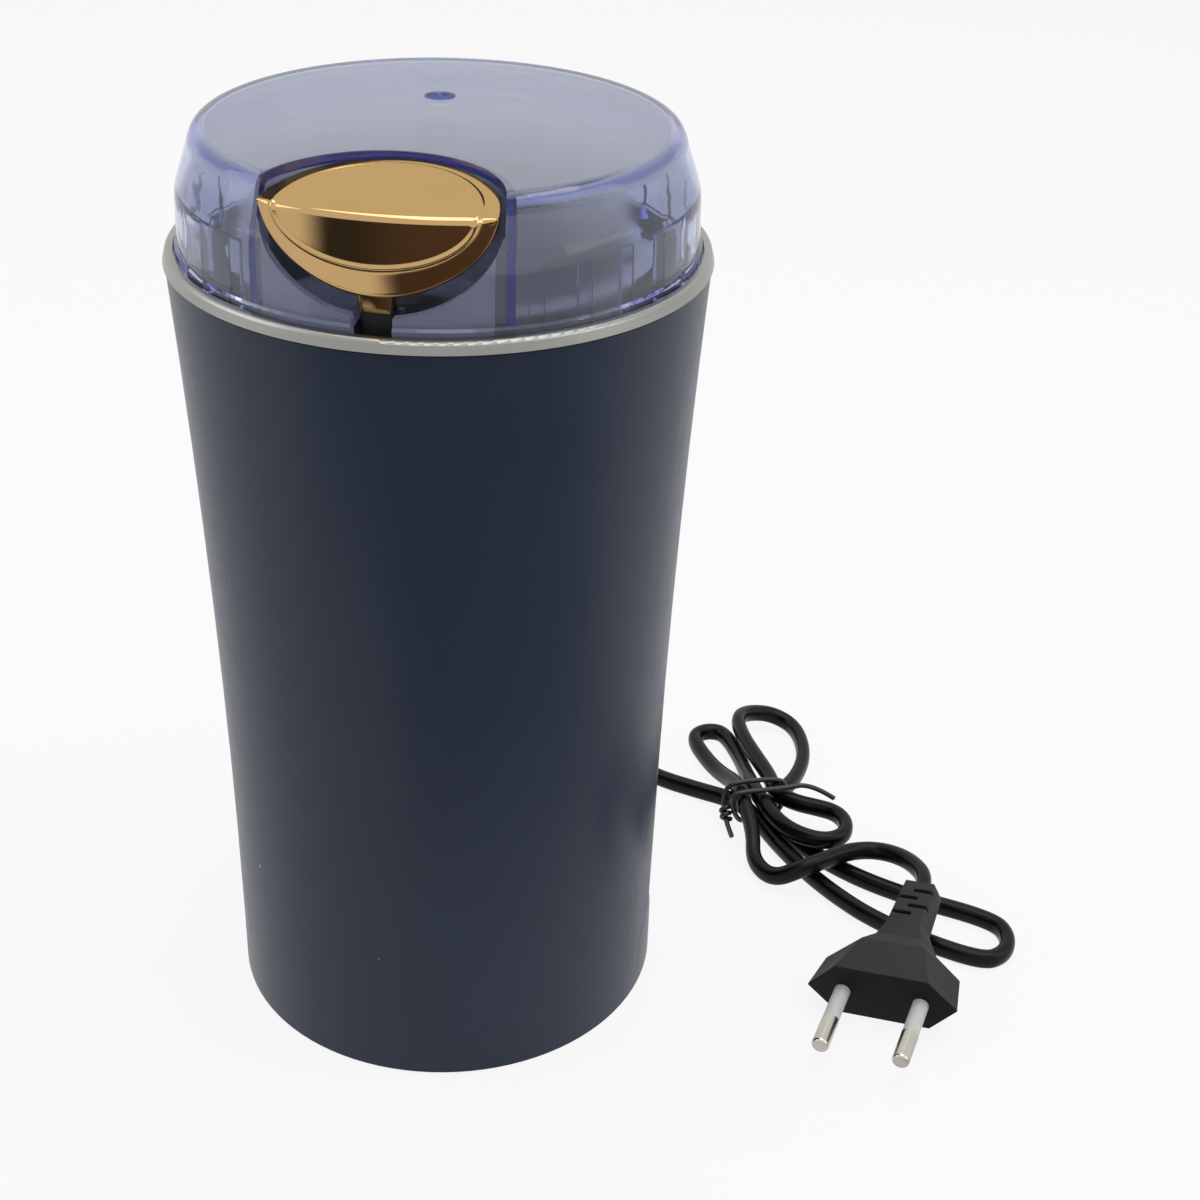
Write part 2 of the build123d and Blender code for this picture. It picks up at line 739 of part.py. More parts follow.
with BuildPart() as mount_screws:
    with BuildSketch(Plane.XY.offset(frame_floor_top)):
        with Locations(*damper_spots):
            Circle(bolt_head_radius)
    extrude(amount=under_bowl - 4 * seat_gap)
    with BuildSketch(Plane.XY.offset(frame_floor_top)):
        with Locations(*damper_spots):
            Circle(bolt_radius)
    extrude(amount=bracket_top - bracket_plate - screw_nut_height - frame_floor_top)
mount_screws.part.label = "mount_screws"
export_step(mount_screws.part, "parts/mount_screws.step")

with BuildPart() as mount_nuts:
    with BuildSketch(Plane.XY.offset(bracket_top - bracket_plate)):
        with Locations(*damper_spots):
            RegularPolygon(screw_nut_radius, 6)
        with Locations(*damper_spots):
            Circle(bolt_radius + press_gap, mode=Mode.SUBTRACT)
    extrude(amount=-screw_nut_height)
mount_nuts.part.label = "mount_nuts"
export_step(mount_nuts.part, "parts/mount_nuts.step")

# Long bolts through the brackets and the stack, with nuts below
with BuildPart() as motor_bolts:
    with BuildSketch(Plane.XY.offset(bracket_top)):
        with Locations(*pillar_spots):
            Circle(bolt_head_radius)
    extrude(amount=bolt_head_height)
    with BuildSketch(Plane.XY.offset(bracket_top)):
        with Locations(*pillar_spots):
            Circle(bolt_radius)
    extrude(amount=lower_plate_bottom - screw_nut_height - bracket_top)
motor_bolts.part.label = "motor_bolts"
export_step(motor_bolts.part, "parts/motor_bolts.step")

with BuildPart() as motor_nuts:
    with BuildSketch(Plane.XY.offset(lower_plate_bottom)):
        with Locations(*pillar_spots):
            RegularPolygon(screw_nut_radius, 6)
        with Locations(*pillar_spots):
            Circle(bolt_radius + press_gap, mode=Mode.SUBTRACT)
    extrude(amount=-screw_nut_height)
motor_nuts.part.label = "motor_nuts"
export_step(motor_nuts.part, "parts/motor_nuts.step")

# Laminated stator with two poles and open coil windows
window_width = window_outer - window_inner
window_middle = (window_outer + window_inner) / 2
window_height = window_depth - pole_gap_half
with BuildPart() as stator_core:
    with BuildSketch(Plane.XY.offset(stack_bottom)):
        RectangleRounded(stator_x, stator_y, stator_corner)
        with GridLocations(2 * window_middle, window_depth + pole_gap_half, 2, 2):
            Rectangle(window_width, window_height, mode=Mode.SUBTRACT)
        Circle(stator_bore + pole_shoe)
        Circle(stator_bore, mode=Mode.SUBTRACT)
        Rectangle(2 * window_outer, 2 * pole_gap_half, mode=Mode.SUBTRACT)
        with Locations(*pillar_spots):
            Circle(bolt_radius + bolt_hole_gap, mode=Mode.SUBTRACT)
    extrude(amount=stack_height)
stator_core.part.label = "stator_core"
export_step(stator_core.part, "parts/stator_core.step")

# Field coils round the two poles
coil_hole_x = 2 * (window_inner + coil_gap)
coil_hole_z = stack_height + 2 * coil_gap
with BuildPart() as field_coils:
    for coil_plane in (Plane.XZ.offset(-coil_near), Plane.XZ.offset(coil_near + coil_depth)):
        with BuildSketch(coil_plane):
            with Locations((0, (stack_top + stack_bottom) / 2)):
                RectangleRounded(
                    coil_hole_x + 2 * coil_thickness,
                    coil_hole_z + 2 * coil_thickness,
                    coil_thickness,
                )
                RectangleRounded(coil_hole_x, coil_hole_z, coil_gap, mode=Mode.SUBTRACT)
        extrude(amount=-coil_depth)
field_coils.part.label = "field_coils"
export_step(field_coils.part, "parts/field_coils.step")

# Slotted armature core, its winding and the commutator
armature_radius = stator_bore - air_gap
slot_middle = armature_radius - slot_depth / 2
with BuildPart() as armature_core:
    with BuildSketch(Plane.XY.offset(stack_bottom)):
        Circle(armature_radius)
        with PolarLocations(slot_middle, slot_count):
            Rectangle(slot_depth + slot_width, slot_width, mode=Mode.SUBTRACT)
        Circle(shaft_radius + press_gap, mode=Mode.SUBTRACT)
    extrude(amount=stack_height)
armature_core.part.label = "armature_core"
export_step(armature_core.part, "parts/armature_core.step")

with BuildPart() as armature_winding:
    for end_start, end_way in ((stack_top + slot_gap, 1), (stack_bottom - slot_gap, -1)):
        with BuildSketch(Plane.XY.offset(end_start)):
            Circle(winding_radius)
            Circle(shaft_radius + slip_gap, mode=Mode.SUBTRACT)
        extrude(amount=end_way * winding_overhang)
    with BuildSketch(Plane.XY.offset(stack_bottom - winding_overhang / 2)):
        with PolarLocations(slot_middle, slot_count):
            with Locations((-slot_width / 2, 0)):
                Rectangle(slot_depth - slot_gap, slot_width - 2 * slot_gap)
    extrude(amount=stack_height + winding_overhang)
    fillet(
        armature_winding.edges().filter_by(GeomType.CIRCLE).group_by(Axis.Z)[-1].sort_by(SortBy.RADIUS)[-1],
        radius=winding_overhang / 3,
    )
armature_winding.part.label = "armature_winding"
export_step(armature_winding.part, "parts/armature_winding.step")

commutator_bottom = lower_plate_top + commutator_base
with BuildPart() as commutator:
    with BuildSketch(Plane.XY.offset(commutator_bottom)):
        Circle(commutator_radius)
        Circle(shaft_radius + press_gap, mode=Mode.SUBTRACT)
        with PolarLocations(commutator_radius, slot_count):
            Rectangle(2 * commutator_slit, commutator_slit, mode=Mode.SUBTRACT)
    extrude(amount=commutator_length)
commutator.part.label = "commutator"
export_step(commutator.part, "parts/commutator.step")

# Cooling fan on the shaft
fan_bottom = stack_top + fan_base
fan_blade_start = fan_hub_radius - fan_blade_thickness
fan_blade_end = fan_radius - fan_blade_thickness / 2
with BuildPart() as cooling_fan:
    with BuildSketch(Plane.XY.offset(fan_bottom)):
        Circle(fan_radius)
    extrude(amount=fan_disc)
    with BuildSketch(Plane.XY.offset(fan_bottom)):
        with PolarLocations((fan_blade_start + fan_blade_end) / 2, fan_blades):
            Rectangle(fan_blade_end - fan_blade_start, fan_blade_thickness)
        Circle(fan_hub_radius)
    extrude(amount=fan_height)
    with BuildSketch(Plane.XY.offset(fan_bottom)):
        Circle(shaft_radius + press_gap)
    extrude(amount=fan_height, mode=Mode.SUBTRACT)
cooling_fan.part.label = "cooling_fan"
export_step(cooling_fan.part, "parts/cooling_fan.step")

# Brush gear on the lower bracket: holders, carbon brushes, springs and caps
brush_z = lower_plate_top + brush_level
brush_start = commutator_radius + brush_gap
brush_end = brush_start + brush_length
with BuildPart() as brush_holders:
    with BuildSketch(Plane.XY.offset(lower_plate_top)):
        with GridLocations(holder_start + holder_end, 0, 2, 1):
            Rectangle(holder_end - holder_start, holder_width)
    extrude(amount=brush_level + holder_top)
    with BuildSketch(Plane.YZ.offset(-holder_end)):
        with Locations((0, brush_z)):
            Rectangle(brush_width + 2 * brush_gap, brush_tall + 2 * brush_gap)
    extrude(amount=2 * holder_end, mode=Mode.SUBTRACT)
brush_holders.part.label = "brush_holders"
export_step(brush_holders.part, "parts/brush_holders.step")

with BuildPart() as carbon_brushes:
    for brush_plane in (Plane.YZ.offset(brush_start), Plane.YZ.offset(-brush_end)):
        with BuildSketch(brush_plane):
            with Locations((0, brush_z)):
                Rectangle(brush_width, brush_tall)
        extrude(amount=brush_length)
carbon_brushes.part.label = "carbon_brushes"
export_step(carbon_brushes.part, "parts/carbon_brushes.step")


def coil_spring(length, turns, radius, wire, place):
    """One round-wire coil spring of a free length, standing on the place's plane."""
    rise = length - wire - 2 * seat_gap
    helix = Helix(pitch=rise / turns, height=rise, radius=radius)
    section = Plane(helix @ 0, z_dir=helix % 0) * Circle(wire / 2)
    spring = sweep(section, path=Wire([helix]), is_frenet=True)
    return place * Pos(0, 0, wire / 2 + seat_gap) * spring


brush_spring_length = holder_end - brush_end
brush_coils = [
    coil_spring(
        brush_spring_length, brush_spring_turns, brush_spring_radius, brush_spring_wire,
        Plane((way * brush_end, 0, brush_z), z_dir=(way, 0, 0)).location,
    )
    for way in (1, -1)
]
with BuildPart() as brush_springs:
    add(brush_coils)
brush_springs.part.label = "brush_springs"
export_step(brush_springs.part, "parts/brush_springs.step")

with BuildPart() as brush_caps:
    for cap_plane in (Plane.YZ.offset(holder_end), Plane.YZ.offset(-holder_end - brush_cap_thickness)):
        with BuildSketch(cap_plane):
            with Locations((0, brush_z)):
                Rectangle(brush_width + holder_top / 2, brush_tall + holder_top / 2)
        extrude(amount=brush_cap_thickness)
brush_caps.part.label = "brush_caps"
export_step(brush_caps.part, "parts/brush_caps.step")

# Push pin of the safety switch, its clip and its return spring
with BuildPart() as switch_pin:
    with BuildSketch(Plane.XY.offset(pin_shoulder)):
        with Locations((0, -pin_radius_at)):
            RectangleRounded(pin_width, pin_depth, pin_depth / 4)
    extrude(amount=pin_block)
    with BuildSketch(Plane.XY.offset(pin_shoulder)):
        with Locations((0, -pin_radius_at)):
            Circle(pin_stem_radius)
    extrude(amount=-pin_stem_length)
switch_pin.part.label = "switch_pin"
export_step(switch_pin.part, "parts/switch_pin.step")

clip_top = pocket_bottom - slip_gap
with BuildPart() as pin_clip:
    with BuildSketch(Plane.XY.offset(clip_top)):
        with Locations((0, -pin_radius_at)):
            Circle(clip_radius)
            Circle(pin_stem_radius + press_gap, mode=Mode.SUBTRACT)
    extrude(amount=-clip_thickness)
pin_clip.part.label = "pin_clip"
export_step(pin_clip.part, "parts/pin_clip.step")

pin_coil = coil_spring(
    pin_shoulder - pocket_floor_top, pin_spring_turns, pin_spring_radius, pin_spring_wire,
    Pos(0, -pin_radius_at, pocket_floor_top),
)
with BuildPart() as pin_spring:
    add(pin_coil)
pin_spring.part.label = "pin_spring"
export_step(pin_spring.part, "parts/pin_spring.step")

# Small snap switch with a hinged lever, terminals and screws
switch_back = pad_front + seat_gap
switch_middle = switch_back + switch_depth / 2
with BuildPart() as snap_switch:
    with BuildSketch(Plane.XZ.offset(switch_back)):
        with Locations((0, (switch_bottom + switch_top) / 2)):
            RectangleRounded(switch_width, switch_height, slip_gap)
            with GridLocations(switch_screw_pitch, 0, 2, 1):
                Circle(switch_screw_radius + bolt_hole_gap, mode=Mode.SUBTRACT)
    extrude(amount=switch_depth)
snap_switch.part.label = "snap_switch"
export_step(snap_switch.part, "parts/snap_switch.step")

lever_way = (cos(radians(lever_angle)), 0, sin(radians(lever_angle)))
lever_plane = Plane((-lever_arm, -pin_radius_at, lever_hinge), x_dir=lever_way, z_dir=(0, -1, 0))
with BuildPart() as switch_lever:
    with BuildSketch(lever_plane.offset(-lever_width / 2)):
        Circle(lever_barrel)
        with Locations((lever_length / 2, 0)):
            Rectangle(lever_length, lever_thickness)
    extrude(amount=lever_width)
switch_lever.part.label = "switch_lever"
export_step(switch_lever.part, "parts/switch_lever.step")

with BuildPart() as switch_terminals:
    with BuildSketch(Plane.XY.offset(switch_bottom)):
        with Locations((0, -switch_middle)):
            with GridLocations(terminal_pitch, 0, terminal_count, 1):
                Rectangle(terminal_width, terminal_thickness)
    extrude(amount=-terminal_length)
switch_terminals.part.label = "switch_terminals"
export_step(switch_terminals.part, "parts/switch_terminals.step")

with BuildPart() as switch_screws:
    with BuildSketch(Plane.XZ.offset(switch_back + switch_depth)):
        with Locations((0, (switch_bottom + switch_top) / 2)):
            with GridLocations(switch_screw_pitch, 0, 2, 1):
                Circle(2 * switch_screw_radius)
    extrude(amount=switch_screw_head)
    with BuildSketch(Plane.XZ.offset(switch_back + switch_depth)):
        with Locations((0, (switch_bottom + switch_top) / 2)):
            with GridLocations(switch_screw_pitch, 0, 2, 1):
                Circle(switch_screw_radius)
    extrude(amount=-switch_depth - switch_pad + 4 * seat_gap)
switch_screws.part.label = "switch_screws"
export_step(switch_screws.part, "parts/switch_screws.step")

# Lid outlines: the button's plan and front, grown by a margin
button_corner_y = -sqrt(button_radius**2 - button_half_width**2)


def button_plan(margin, radius, bottom):
    """Sketch of the button's plan at a height: an ellipse cut by the lid's round front."""
    with BuildSketch(Plane.XY.offset(bottom)) as plan:
        with Locations((0, button_corner_y)):
            Ellipse(button_half_width + margin, button_back_depth + margin)
        Circle(radius, mode=Mode.INTERSECT)
    return plan.sketch


def button_front(margin, drop, middle, top):
    """Sketch of the button's front view: half an ellipse below a straight part up to a top."""
    with BuildSketch(Plane.XZ) as front:
        with Locations((0, middle - drop)):
            Ellipse(button_half_width + margin, button_front_depth + margin)
        with Locations((0, (middle - drop + top) / 2)):
            Rectangle(2 * (button_half_width + margin), top - middle + drop)
    return front.sketch


# Clear lid: a beaded and kinked wall, ribs inside, a flat top, a closed chamber and a window for the button
lid_inner = lid_wall_radius - lid_wall
with BuildPart() as lid_hollow:
    with BuildSketch(Plane.XZ):
        with BuildLine():
            Polyline(
                (0, lid_bottom - cut_over),
                (lid_inner, lid_bottom - cut_over),
                (lid_inner, lid_bottom),
                (lid_kink_radius - lid_wall, lid_kink),
                (lid_shoulder_radius - lid_wall, lid_top - lid_top_wall),
                (0, lid_top - lid_top_wall),
                close=True,
            )
        make_face()
    revolve(axis=Axis.Z)
    hollow_edges = lid_hollow.edges().filter_by(GeomType.CIRCLE)
    fillet(hollow_edges.group_by(Axis.Z)[-1], radius=lid_inner_round)
    with BuildSketch(Plane.XY.offset(lid_bottom)):
        with PolarLocations(lid_inner, lid_rib_count):
            Rectangle(2 * lid_rib_depth, lid_rib_width)
    extrude(amount=lid_rib_height, mode=Mode.SUBTRACT)
    extrude(
        button_plan(button_gap + chamber_wall, lid_radius, chamber_floor_bottom),
        amount=lid_top - chamber_floor_bottom,
        mode=Mode.SUBTRACT,
    )

with BuildPart() as lid_window:
    extrude(
        button_plan(button_gap, lid_radius + cut_over, lid_bottom),
        amount=lid_height + cut_over,
    )
    extrude(
        button_front(button_gap, button_travel, button_top, lid_top + cut_over),
        amount=lid_radius + cut_over,
        mode=Mode.INTERSECT,
    )

with BuildPart() as lid:
    with BuildSketch(Plane.XZ):
        with BuildLine():
            Polyline(
                (0, lid_bottom),
                (lid_radius, lid_bottom),
                (lid_radius, lid_bottom + lid_bead_height - lid_bead),
                (lid_wall_radius, lid_bottom + lid_bead_height),
                (lid_kink_radius, lid_kink),
                (lid_shoulder_radius, lid_top),
                (0, lid_top),
                close=True,
            )
        make_face()
    revolve(axis=Axis.Z)
    fillet(lid.edges().filter_by(GeomType.CIRCLE).group_by(Axis.Z)[-1], radius=lid_top_round)
    kink_edges = lid.edges().filter_by_position(Axis.Z, lid_kink - seat_gap, lid_kink + seat_gap)
    fillet(kink_edges.filter_by(GeomType.CIRCLE), radius=lid_kink_round)
    add(lid_hollow.part, mode=Mode.SUBTRACT)
    extrude(
        button_plan(button_gap, lid_inner, chamber_floor_top),
        amount=lid_top + cut_over - chamber_floor_top,
        mode=Mode.SUBTRACT,
    )
    add(lid_window.part, mode=Mode.SUBTRACT)
    with BuildSketch(Plane.XY.offset(lid_bottom)):
        with Locations((0, -lid_radius)):
            Rectangle(stem_width + 2 * button_gap, 2 * (lid_radius - pin_radius_at + pin_depth))
    extrude(amount=button_top - button_front_depth - lid_bottom, mode=Mode.SUBTRACT)
    with BuildSketch(Plane.XY.offset(lid_top)):
        with Locations((gate_mark_x, gate_mark_y)):
            Circle(gate_mark_radius)
    extrude(amount=-gate_mark_depth, taper=40, mode=Mode.SUBTRACT)
lid.part.label = "lid"
export_step(lid.part, "parts/lid.step")

# Push button: a thin cap whose round front and flat top share a raised panel, with a stem below
button_bottom = button_top - button_front_depth
with BuildPart() as button_cap:
    extrude(button_plan(0, button_radius, button_bottom - cut_over), amount=button_front_depth + cut_over)
    extrude(
        button_front(0, 0, button_top, button_top),
        amount=button_radius + cut_over,
        mode=Mode.INTERSECT,
    )

with BuildPart() as button_panel:
    extrude(
        button_plan(-panel_inset, button_radius + panel_rise, button_bottom),
        amount=button_front_depth + panel_rise,
    )
    extrude(
        button_front(-panel_inset, 0, button_top, button_top + panel_rise),
        amount=button_radius + cut_over,
        mode=Mode.INTERSECT,
    )

with BuildPart() as push_button:
    add(button_cap.part)
    add(button_panel.part)
    extrude(
        button_plan(-button_wall, button_radius - button_wall, button_bottom - cut_over),
        amount=button_front_depth + cut_over - button_wall,
        mode=Mode.SUBTRACT,
    )
    with BuildSketch(Plane.XY.offset(button_bottom - stem_length)):
        with Locations((0, -button_radius + button_wall / 2 + stem_depth / 2)):
            Rectangle(stem_width, stem_depth)
    extrude(amount=stem_length + button_front_depth - button_wall)
push_button.part.label = "push_button"
export_step(push_button.part, "parts/push_button.step")

# Strain relief: a flanged neck in the body's wall and a tapered sleeve
relief_outside = shell_radius(cord_height) + seat_gap
relief_inside = inner_radius(cord_height) - 6 * seat_gap
relief_end = relief_outside + relief_flange_thickness + relief_length
strain_profile = [
    (0, relief_inside - relief_flange_thickness),
    (relief_flange_radius, relief_inside - relief_flange_thickness),
    (relief_flange_radius, relief_inside),
    (relief_neck_radius, relief_inside),
    (relief_neck_radius, relief_outside),
    (relief_flange_radius, relief_outside),
    (relief_flange_radius, relief_outside + relief_flange_thickness),
    (relief_big_radius, relief_outside + relief_flange_thickness),
    (relief_tip_radius, relief_end),
    (0, relief_end),
]
with BuildPart() as strain_relief:
    with BuildSketch(Plane((0, 0, cord_height), x_dir=(1, 0, 0), z_dir=(0, 0, 1))):
        with BuildLine():
            Polyline(*strain_profile, close=True)
        make_face()
    revolve(axis=Axis((0, 0, cord_height), (0, 1, 0)))
strain_relief.part.label = "strain_relief"
export_step(strain_relief.part, "parts/strain_relief.step")


def corner_radii(points, share=0.45):
    """Largest even radius at each inner point of a route."""
    radii = []
    for before, here, after in zip(points, points[1:], points[2:]):
        run_in = Vector(*here) - Vector(*before)
        run_out = Vector(*after) - Vector(*here)
        half_turn = radians(run_in.get_angle(run_out)) / 2
        radii.append(share * min(run_in.length, run_out.length) / tan(half_turn))
    return radii


def tube(points, radius, share=0.45):
    """Round tube along straight runs joined by tangent arcs, and its middle line."""
    path = FilletPolyline(*points, radius=corner_radii(points, share), mode=Mode.PRIVATE)
    section = Plane(path @ 0, z_dir=path % 0) * Circle(radius, mode=Mode.PRIVATE)
    return sweep(section, path=path, mode=Mode.PRIVATE), path


def beside_wall(angle, height, room):
    """Point inside the body's wall, at an angle in degrees from +X, with a room to the wall."""
    radius = inner_radius(height) - room
    return (radius * cos(radians(angle)), radius * sin(radians(angle)), height)


def wall_climb(start_angle, end_angle, count, start_z, end_z, room):
    """Points that climb round inside the body's wall."""
    shares = [k / (count - 1) for k in range(count)]
    return [
        beside_wall(start_angle + (end_angle - start_angle) * k, start_z + (end_z - start_z) * k, room)
        for k in shares
    ]


# Wires inside: cord to switch, switch to field coil, cord to brush cap
terminal_end = switch_bottom - terminal_length
relief_face = relief_inside - relief_flange_thickness
live_route = [
    (wire_radius * 1.5, relief_face, cord_height),
    (wire_radius * 1.5, relief_face - 6.0, cord_height),
    *wall_climb(70, 20, 4, cord_height + 12.0, stack_top, lower_wire_room),
    *wall_climb(0, -76, 5, frame_floor_bottom - 6.0, terminal_end - 12.0, upper_wire_room),
    (terminal_pitch, -switch_middle, terminal_end - 6.0),
    (terminal_pitch, -switch_middle, terminal_end),
]
coil_face = coil_near + coil_depth
coil_top = stack_top + coil_gap + coil_thickness / 2
switched_route = [
    (-terminal_pitch, -switch_middle, terminal_end),
    (-terminal_pitch, -switch_middle, terminal_end - 8.0),
    (-terminal_pitch - 3.0, -switch_middle + 0.6, terminal_end - 20.0),
    (-terminal_pitch - 2.0, -switch_middle + 4.0, stack_top + 22.0),
    (-window_outer + 4.0, -pillar_y - 8.0, coil_top + 4.0),
    (-window_outer + 5.0, -coil_face - 5.0, coil_top),
    (-window_outer + 5.0, -coil_face, coil_top),
]
neutral_route = [
    (-wire_radius * 1.5, relief_face, cord_height),
    (-wire_radius * 1.5, relief_face - 6.0, cord_height),
    (-16.0, relief_face - 9.0, cord_height + 1.5),
    beside_wall(145, cord_height + 11.0, lower_wire_room),
    beside_wall(168, brush_z - 6.0, 2 * lower_wire_room),
    (-holder_end - brush_cap_thickness - 5.0, 0.0, brush_z),
    (-holder_end - brush_cap_thickness, 0.0, brush_z),
]
live_tube, live_path = tube(live_route, wire_radius)
with BuildPart() as live_wire:
    add(live_tube)
live_wire.part.label = "live_wire"
export_step(live_wire.part, "parts/live_wire.step")

switched_tube, switched_path = tube(switched_route, wire_radius)
with BuildPart() as switched_wire:
    add(switched_tube)
switched_wire.part.label = "switched_wire"
export_step(switched_wire.part, "parts/switched_wire.step")

neutral_tube, neutral_path = tube(neutral_route, wire_radius)
with BuildPart() as neutral_wire:
    add(neutral_tube)
neutral_wire.part.label = "neutral_wire"
export_step(neutral_wire.part, "parts/neutral_wire.step")

# Frame of the plug: its pins' way, its width and its height
heading = radians(plug_heading)
dip = radians(plug_dip)
pins_way = Vector(sin(heading) * cos(dip), -cos(heading) * cos(dip), -sin(dip))
level_way = Vector(cos(heading), sin(heading), 0)
width_way = level_way * cos(radians(plug_roll)) + pins_way.cross(level_way) * sin(radians(plug_roll))
plug_plane = Plane(plug_face_at, x_dir=width_way, z_dir=-pins_way)
plug_length = plug_head + plug_taper + plug_neck_length
plug_end = Vector(*plug_face_at) - pins_way * plug_length

# Route of the cord: a lead to the tie, four loops of the hank, a tail to the plug
cord_rest = cord_radius + floor_gap
layer = cord_diameter + layer_gap
lead_points = [
    (0.0, relief_end, cord_height),
    (0.0, relief_end + 8.0, cord_height),
    (5.0, relief_end + 20.0, 10.0),
    (16.5, relief_end + 22.5, 4.4),
    (29.0, 79.6, cord_rest),
    (40.5, 72.8, cord_rest),
    (51.5, 69.4, cord_rest),
    (61.5, 66.6, 2.5),
]
tail_points = [
    (69.2, 49.0, 5.6),
    (70.0, 40.6, 2.6),
    (75.8, 34.2, 2.6),
    (82.8, 33.8, 7.4),
    (88.4, 38.0, 8.0),
    (93.8, 43.0, 7.6),
    (99.8, 46.0, 7.2),
    (106.0, 44.8, 8.2),
    (111.0, 40.6, 9.8),
    tuple(plug_end - pins_way * plug_lead_in),
    tuple(plug_end),
]
# Where the five cords pass the tie: place across the bundle and layer
waist = [(-2.6, 0), (2.8, 0), (5.4, 1), (0.0, 1), (-5.4, 1)]
# Loops of the hank: side of the tie, first limb, reach, lean, bend, width, layers, splay, drop, steps
hank_loops = [
    (1, -1, 80.0, 5.0, 52.0, 17.0, (0, 0), 0.95, 0.25, (0.2, 0.42, 0.64)),
    (-1, 1, 46.0, 44.0, -44.0, 18.0, (0, 1), 0.7, 0.5, (0.2, 0.42, 0.64)),
    (1, 1, 26.0, 22.0, 38.0, 13.5, (1, 1), 0.6, 0.5, (0.36, 0.6)),
    (-1, 1, 40.0, 2.0, -5.0, 9.8, (0, 0), 0.8, 0.6, (0.2, 0.42, 0.64)),
]
turn_corner = tan(pi / 8)  # half octagon round a loop's end


def from_tie(along, across, height):
    """Point of the hank, from the tie's frame to the part's frame."""
    way = radians(tie_turn)
    return (
        tie_x + along * cos(way) - across * sin(way),
        tie_y + along * sin(way) + across * cos(way),
        height,
    )


def waist_point(index):
    """Where the cord passes the tie for the given time."""
    across, level = waist[index]
    return from_tie(0.0, across, cord_rest + waist_lift + layer * level)


def loop_points(loop, leaving, coming):
    """Points of one loop, from one pass of the tie to the next."""
    side, first, reach, lean, bend, width, levels, splay, drop, steps = loop
    half = width / 2
    swing = reach / radians(bend)

    def middle(share):
        """Place and way across on the loop's bent middle line."""
        here = radians(lean + bend * share)
        along = side * swing * (sin(here) - sin(radians(lean)))
        across = swing * (cos(radians(lean)) - cos(here))
        return along, across, -side * sin(here), cos(here)

    def limb(share, limb_side, pass_at, level):
        """Point on one limb, which leaves the tie where the cord passes it."""
        along, across, way_s, way_t = middle(share)
        spread = min(1.0, share / splay)
        hold = (1 - spread) ** 2
        aside = limb_side * half * sin(pi / 2 * spread) * (1 - hold) + waist[pass_at][0] * hold
        high = max(0.0, 1 - share / drop)
        ease = high * high * (3 - 2 * high)
        rise = (waist_lift + layer * (waist[pass_at][1] - level)) * ease
        return from_tie(along + way_s * aside, across + way_t * aside, cord_rest + layer * level + rise)

    points = [limb(share, first, leaving, levels[0]) for share in steps]
    centre = 1 - half / reach
    corners = [(turn_corner, 1), (1, turn_corner), (1, -turn_corner), (turn_corner, -1)]
    for step, (ahead, aside) in enumerate(corners):
        along, across, way_s, way_t = middle(centre + ahead * half / reach)
        level = levels[0] + (levels[1] - levels[0]) * step / 3
        out = first * aside * half
        points.append(from_tie(along + way_s * out, across + way_t * out, cord_rest + layer * level))
    points += [limb(share, -first, coming, levels[1]) for share in reversed(steps)]
    return points


hank_points = [waist_point(0)]
for loop_index, hank_loop in enumerate(hank_loops):
    hank_points += loop_points(hank_loop, loop_index, loop_index + 1)
    hank_points.append(waist_point(loop_index + 1))


def between(first_point, second_point, share=0.5):
    """Point on a straight run."""
    return tuple(a + (b - a) * share for a, b in zip(first_point, second_point))


# The cord is cut at the middle of two runs, so its three tubes meet face to face
route = lead_points + hank_points + tail_points
lead_cut = between(lead_points[-1], hank_points[0])
hank_tail_count = 4  # the tail's first points still belong to the hank
tail_cut = between(tail_points[hank_tail_count - 1], tail_points[hank_tail_count])
lead_route = lead_points + [lead_cut]
hank_route = [lead_cut] + hank_points + tail_points[:hank_tail_count] + [tail_cut]
tail_route = [tail_cut] + tail_points[hank_tail_count:]


def run_radii(points, all_points):
    """Radii at a stretch's points, as the whole route gives them."""
    whole = dict(zip(all_points[1:-1], corner_radii(all_points)))
    return [whole[point] for point in points[1:-1]]


def cord_tube(points):
    """Tube of one stretch of the cord, with its middle line and its radii."""
    radii = run_radii(points, route)
    path = FilletPolyline(*points, radius=radii, mode=Mode.PRIVATE)
    section = Plane(path @ 0, z_dir=path % 0) * Circle(cord_radius, mode=Mode.PRIVATE)
    return sweep(section, path=path, mode=Mode.PRIVATE), path, radii


lead_tube, lead_path, lead_radii = cord_tube(lead_route)
hank_tube, hank_path, hank_radii = cord_tube(hank_route)
tail_tube, tail_path, tail_radii = cord_tube(tail_route)

with BuildPart() as cord_lead:
    add(lead_tube)
cord_lead.part.label = "cord_lead"
export_step(cord_lead.part, "parts/cord_lead.step")

with BuildPart() as cord_hank:
    add(hank_tube)
cord_hank.part.label = "cord_hank"
export_step(cord_hank.part, "parts/cord_hank.step")

with BuildPart() as cord_tail:
    add(tail_tube)
cord_tail.part.label = "cord_tail"
export_step(cord_tail.part, "parts/cord_tail.step")


def middle_line(paths, step=0.8):
    """Points a step apart along the middle lines."""
    points = []
    for path in paths:
        count = max(2, round(path.length / step))
        points += [tuple(path @ (k / count)) for k in range(count)]
    return points


def gap_to_itself(points, diameter, near, step=0.8):
    """Least gap of a tube to itself, without the points nearer than a stretch along it."""
    apart = round(near / step)
    pairs = ((a, b) for a in range(len(points)) for b in range(a + apart, len(points)))
    return min(dist(points[a], points[b]) for a, b in pairs) - diameter


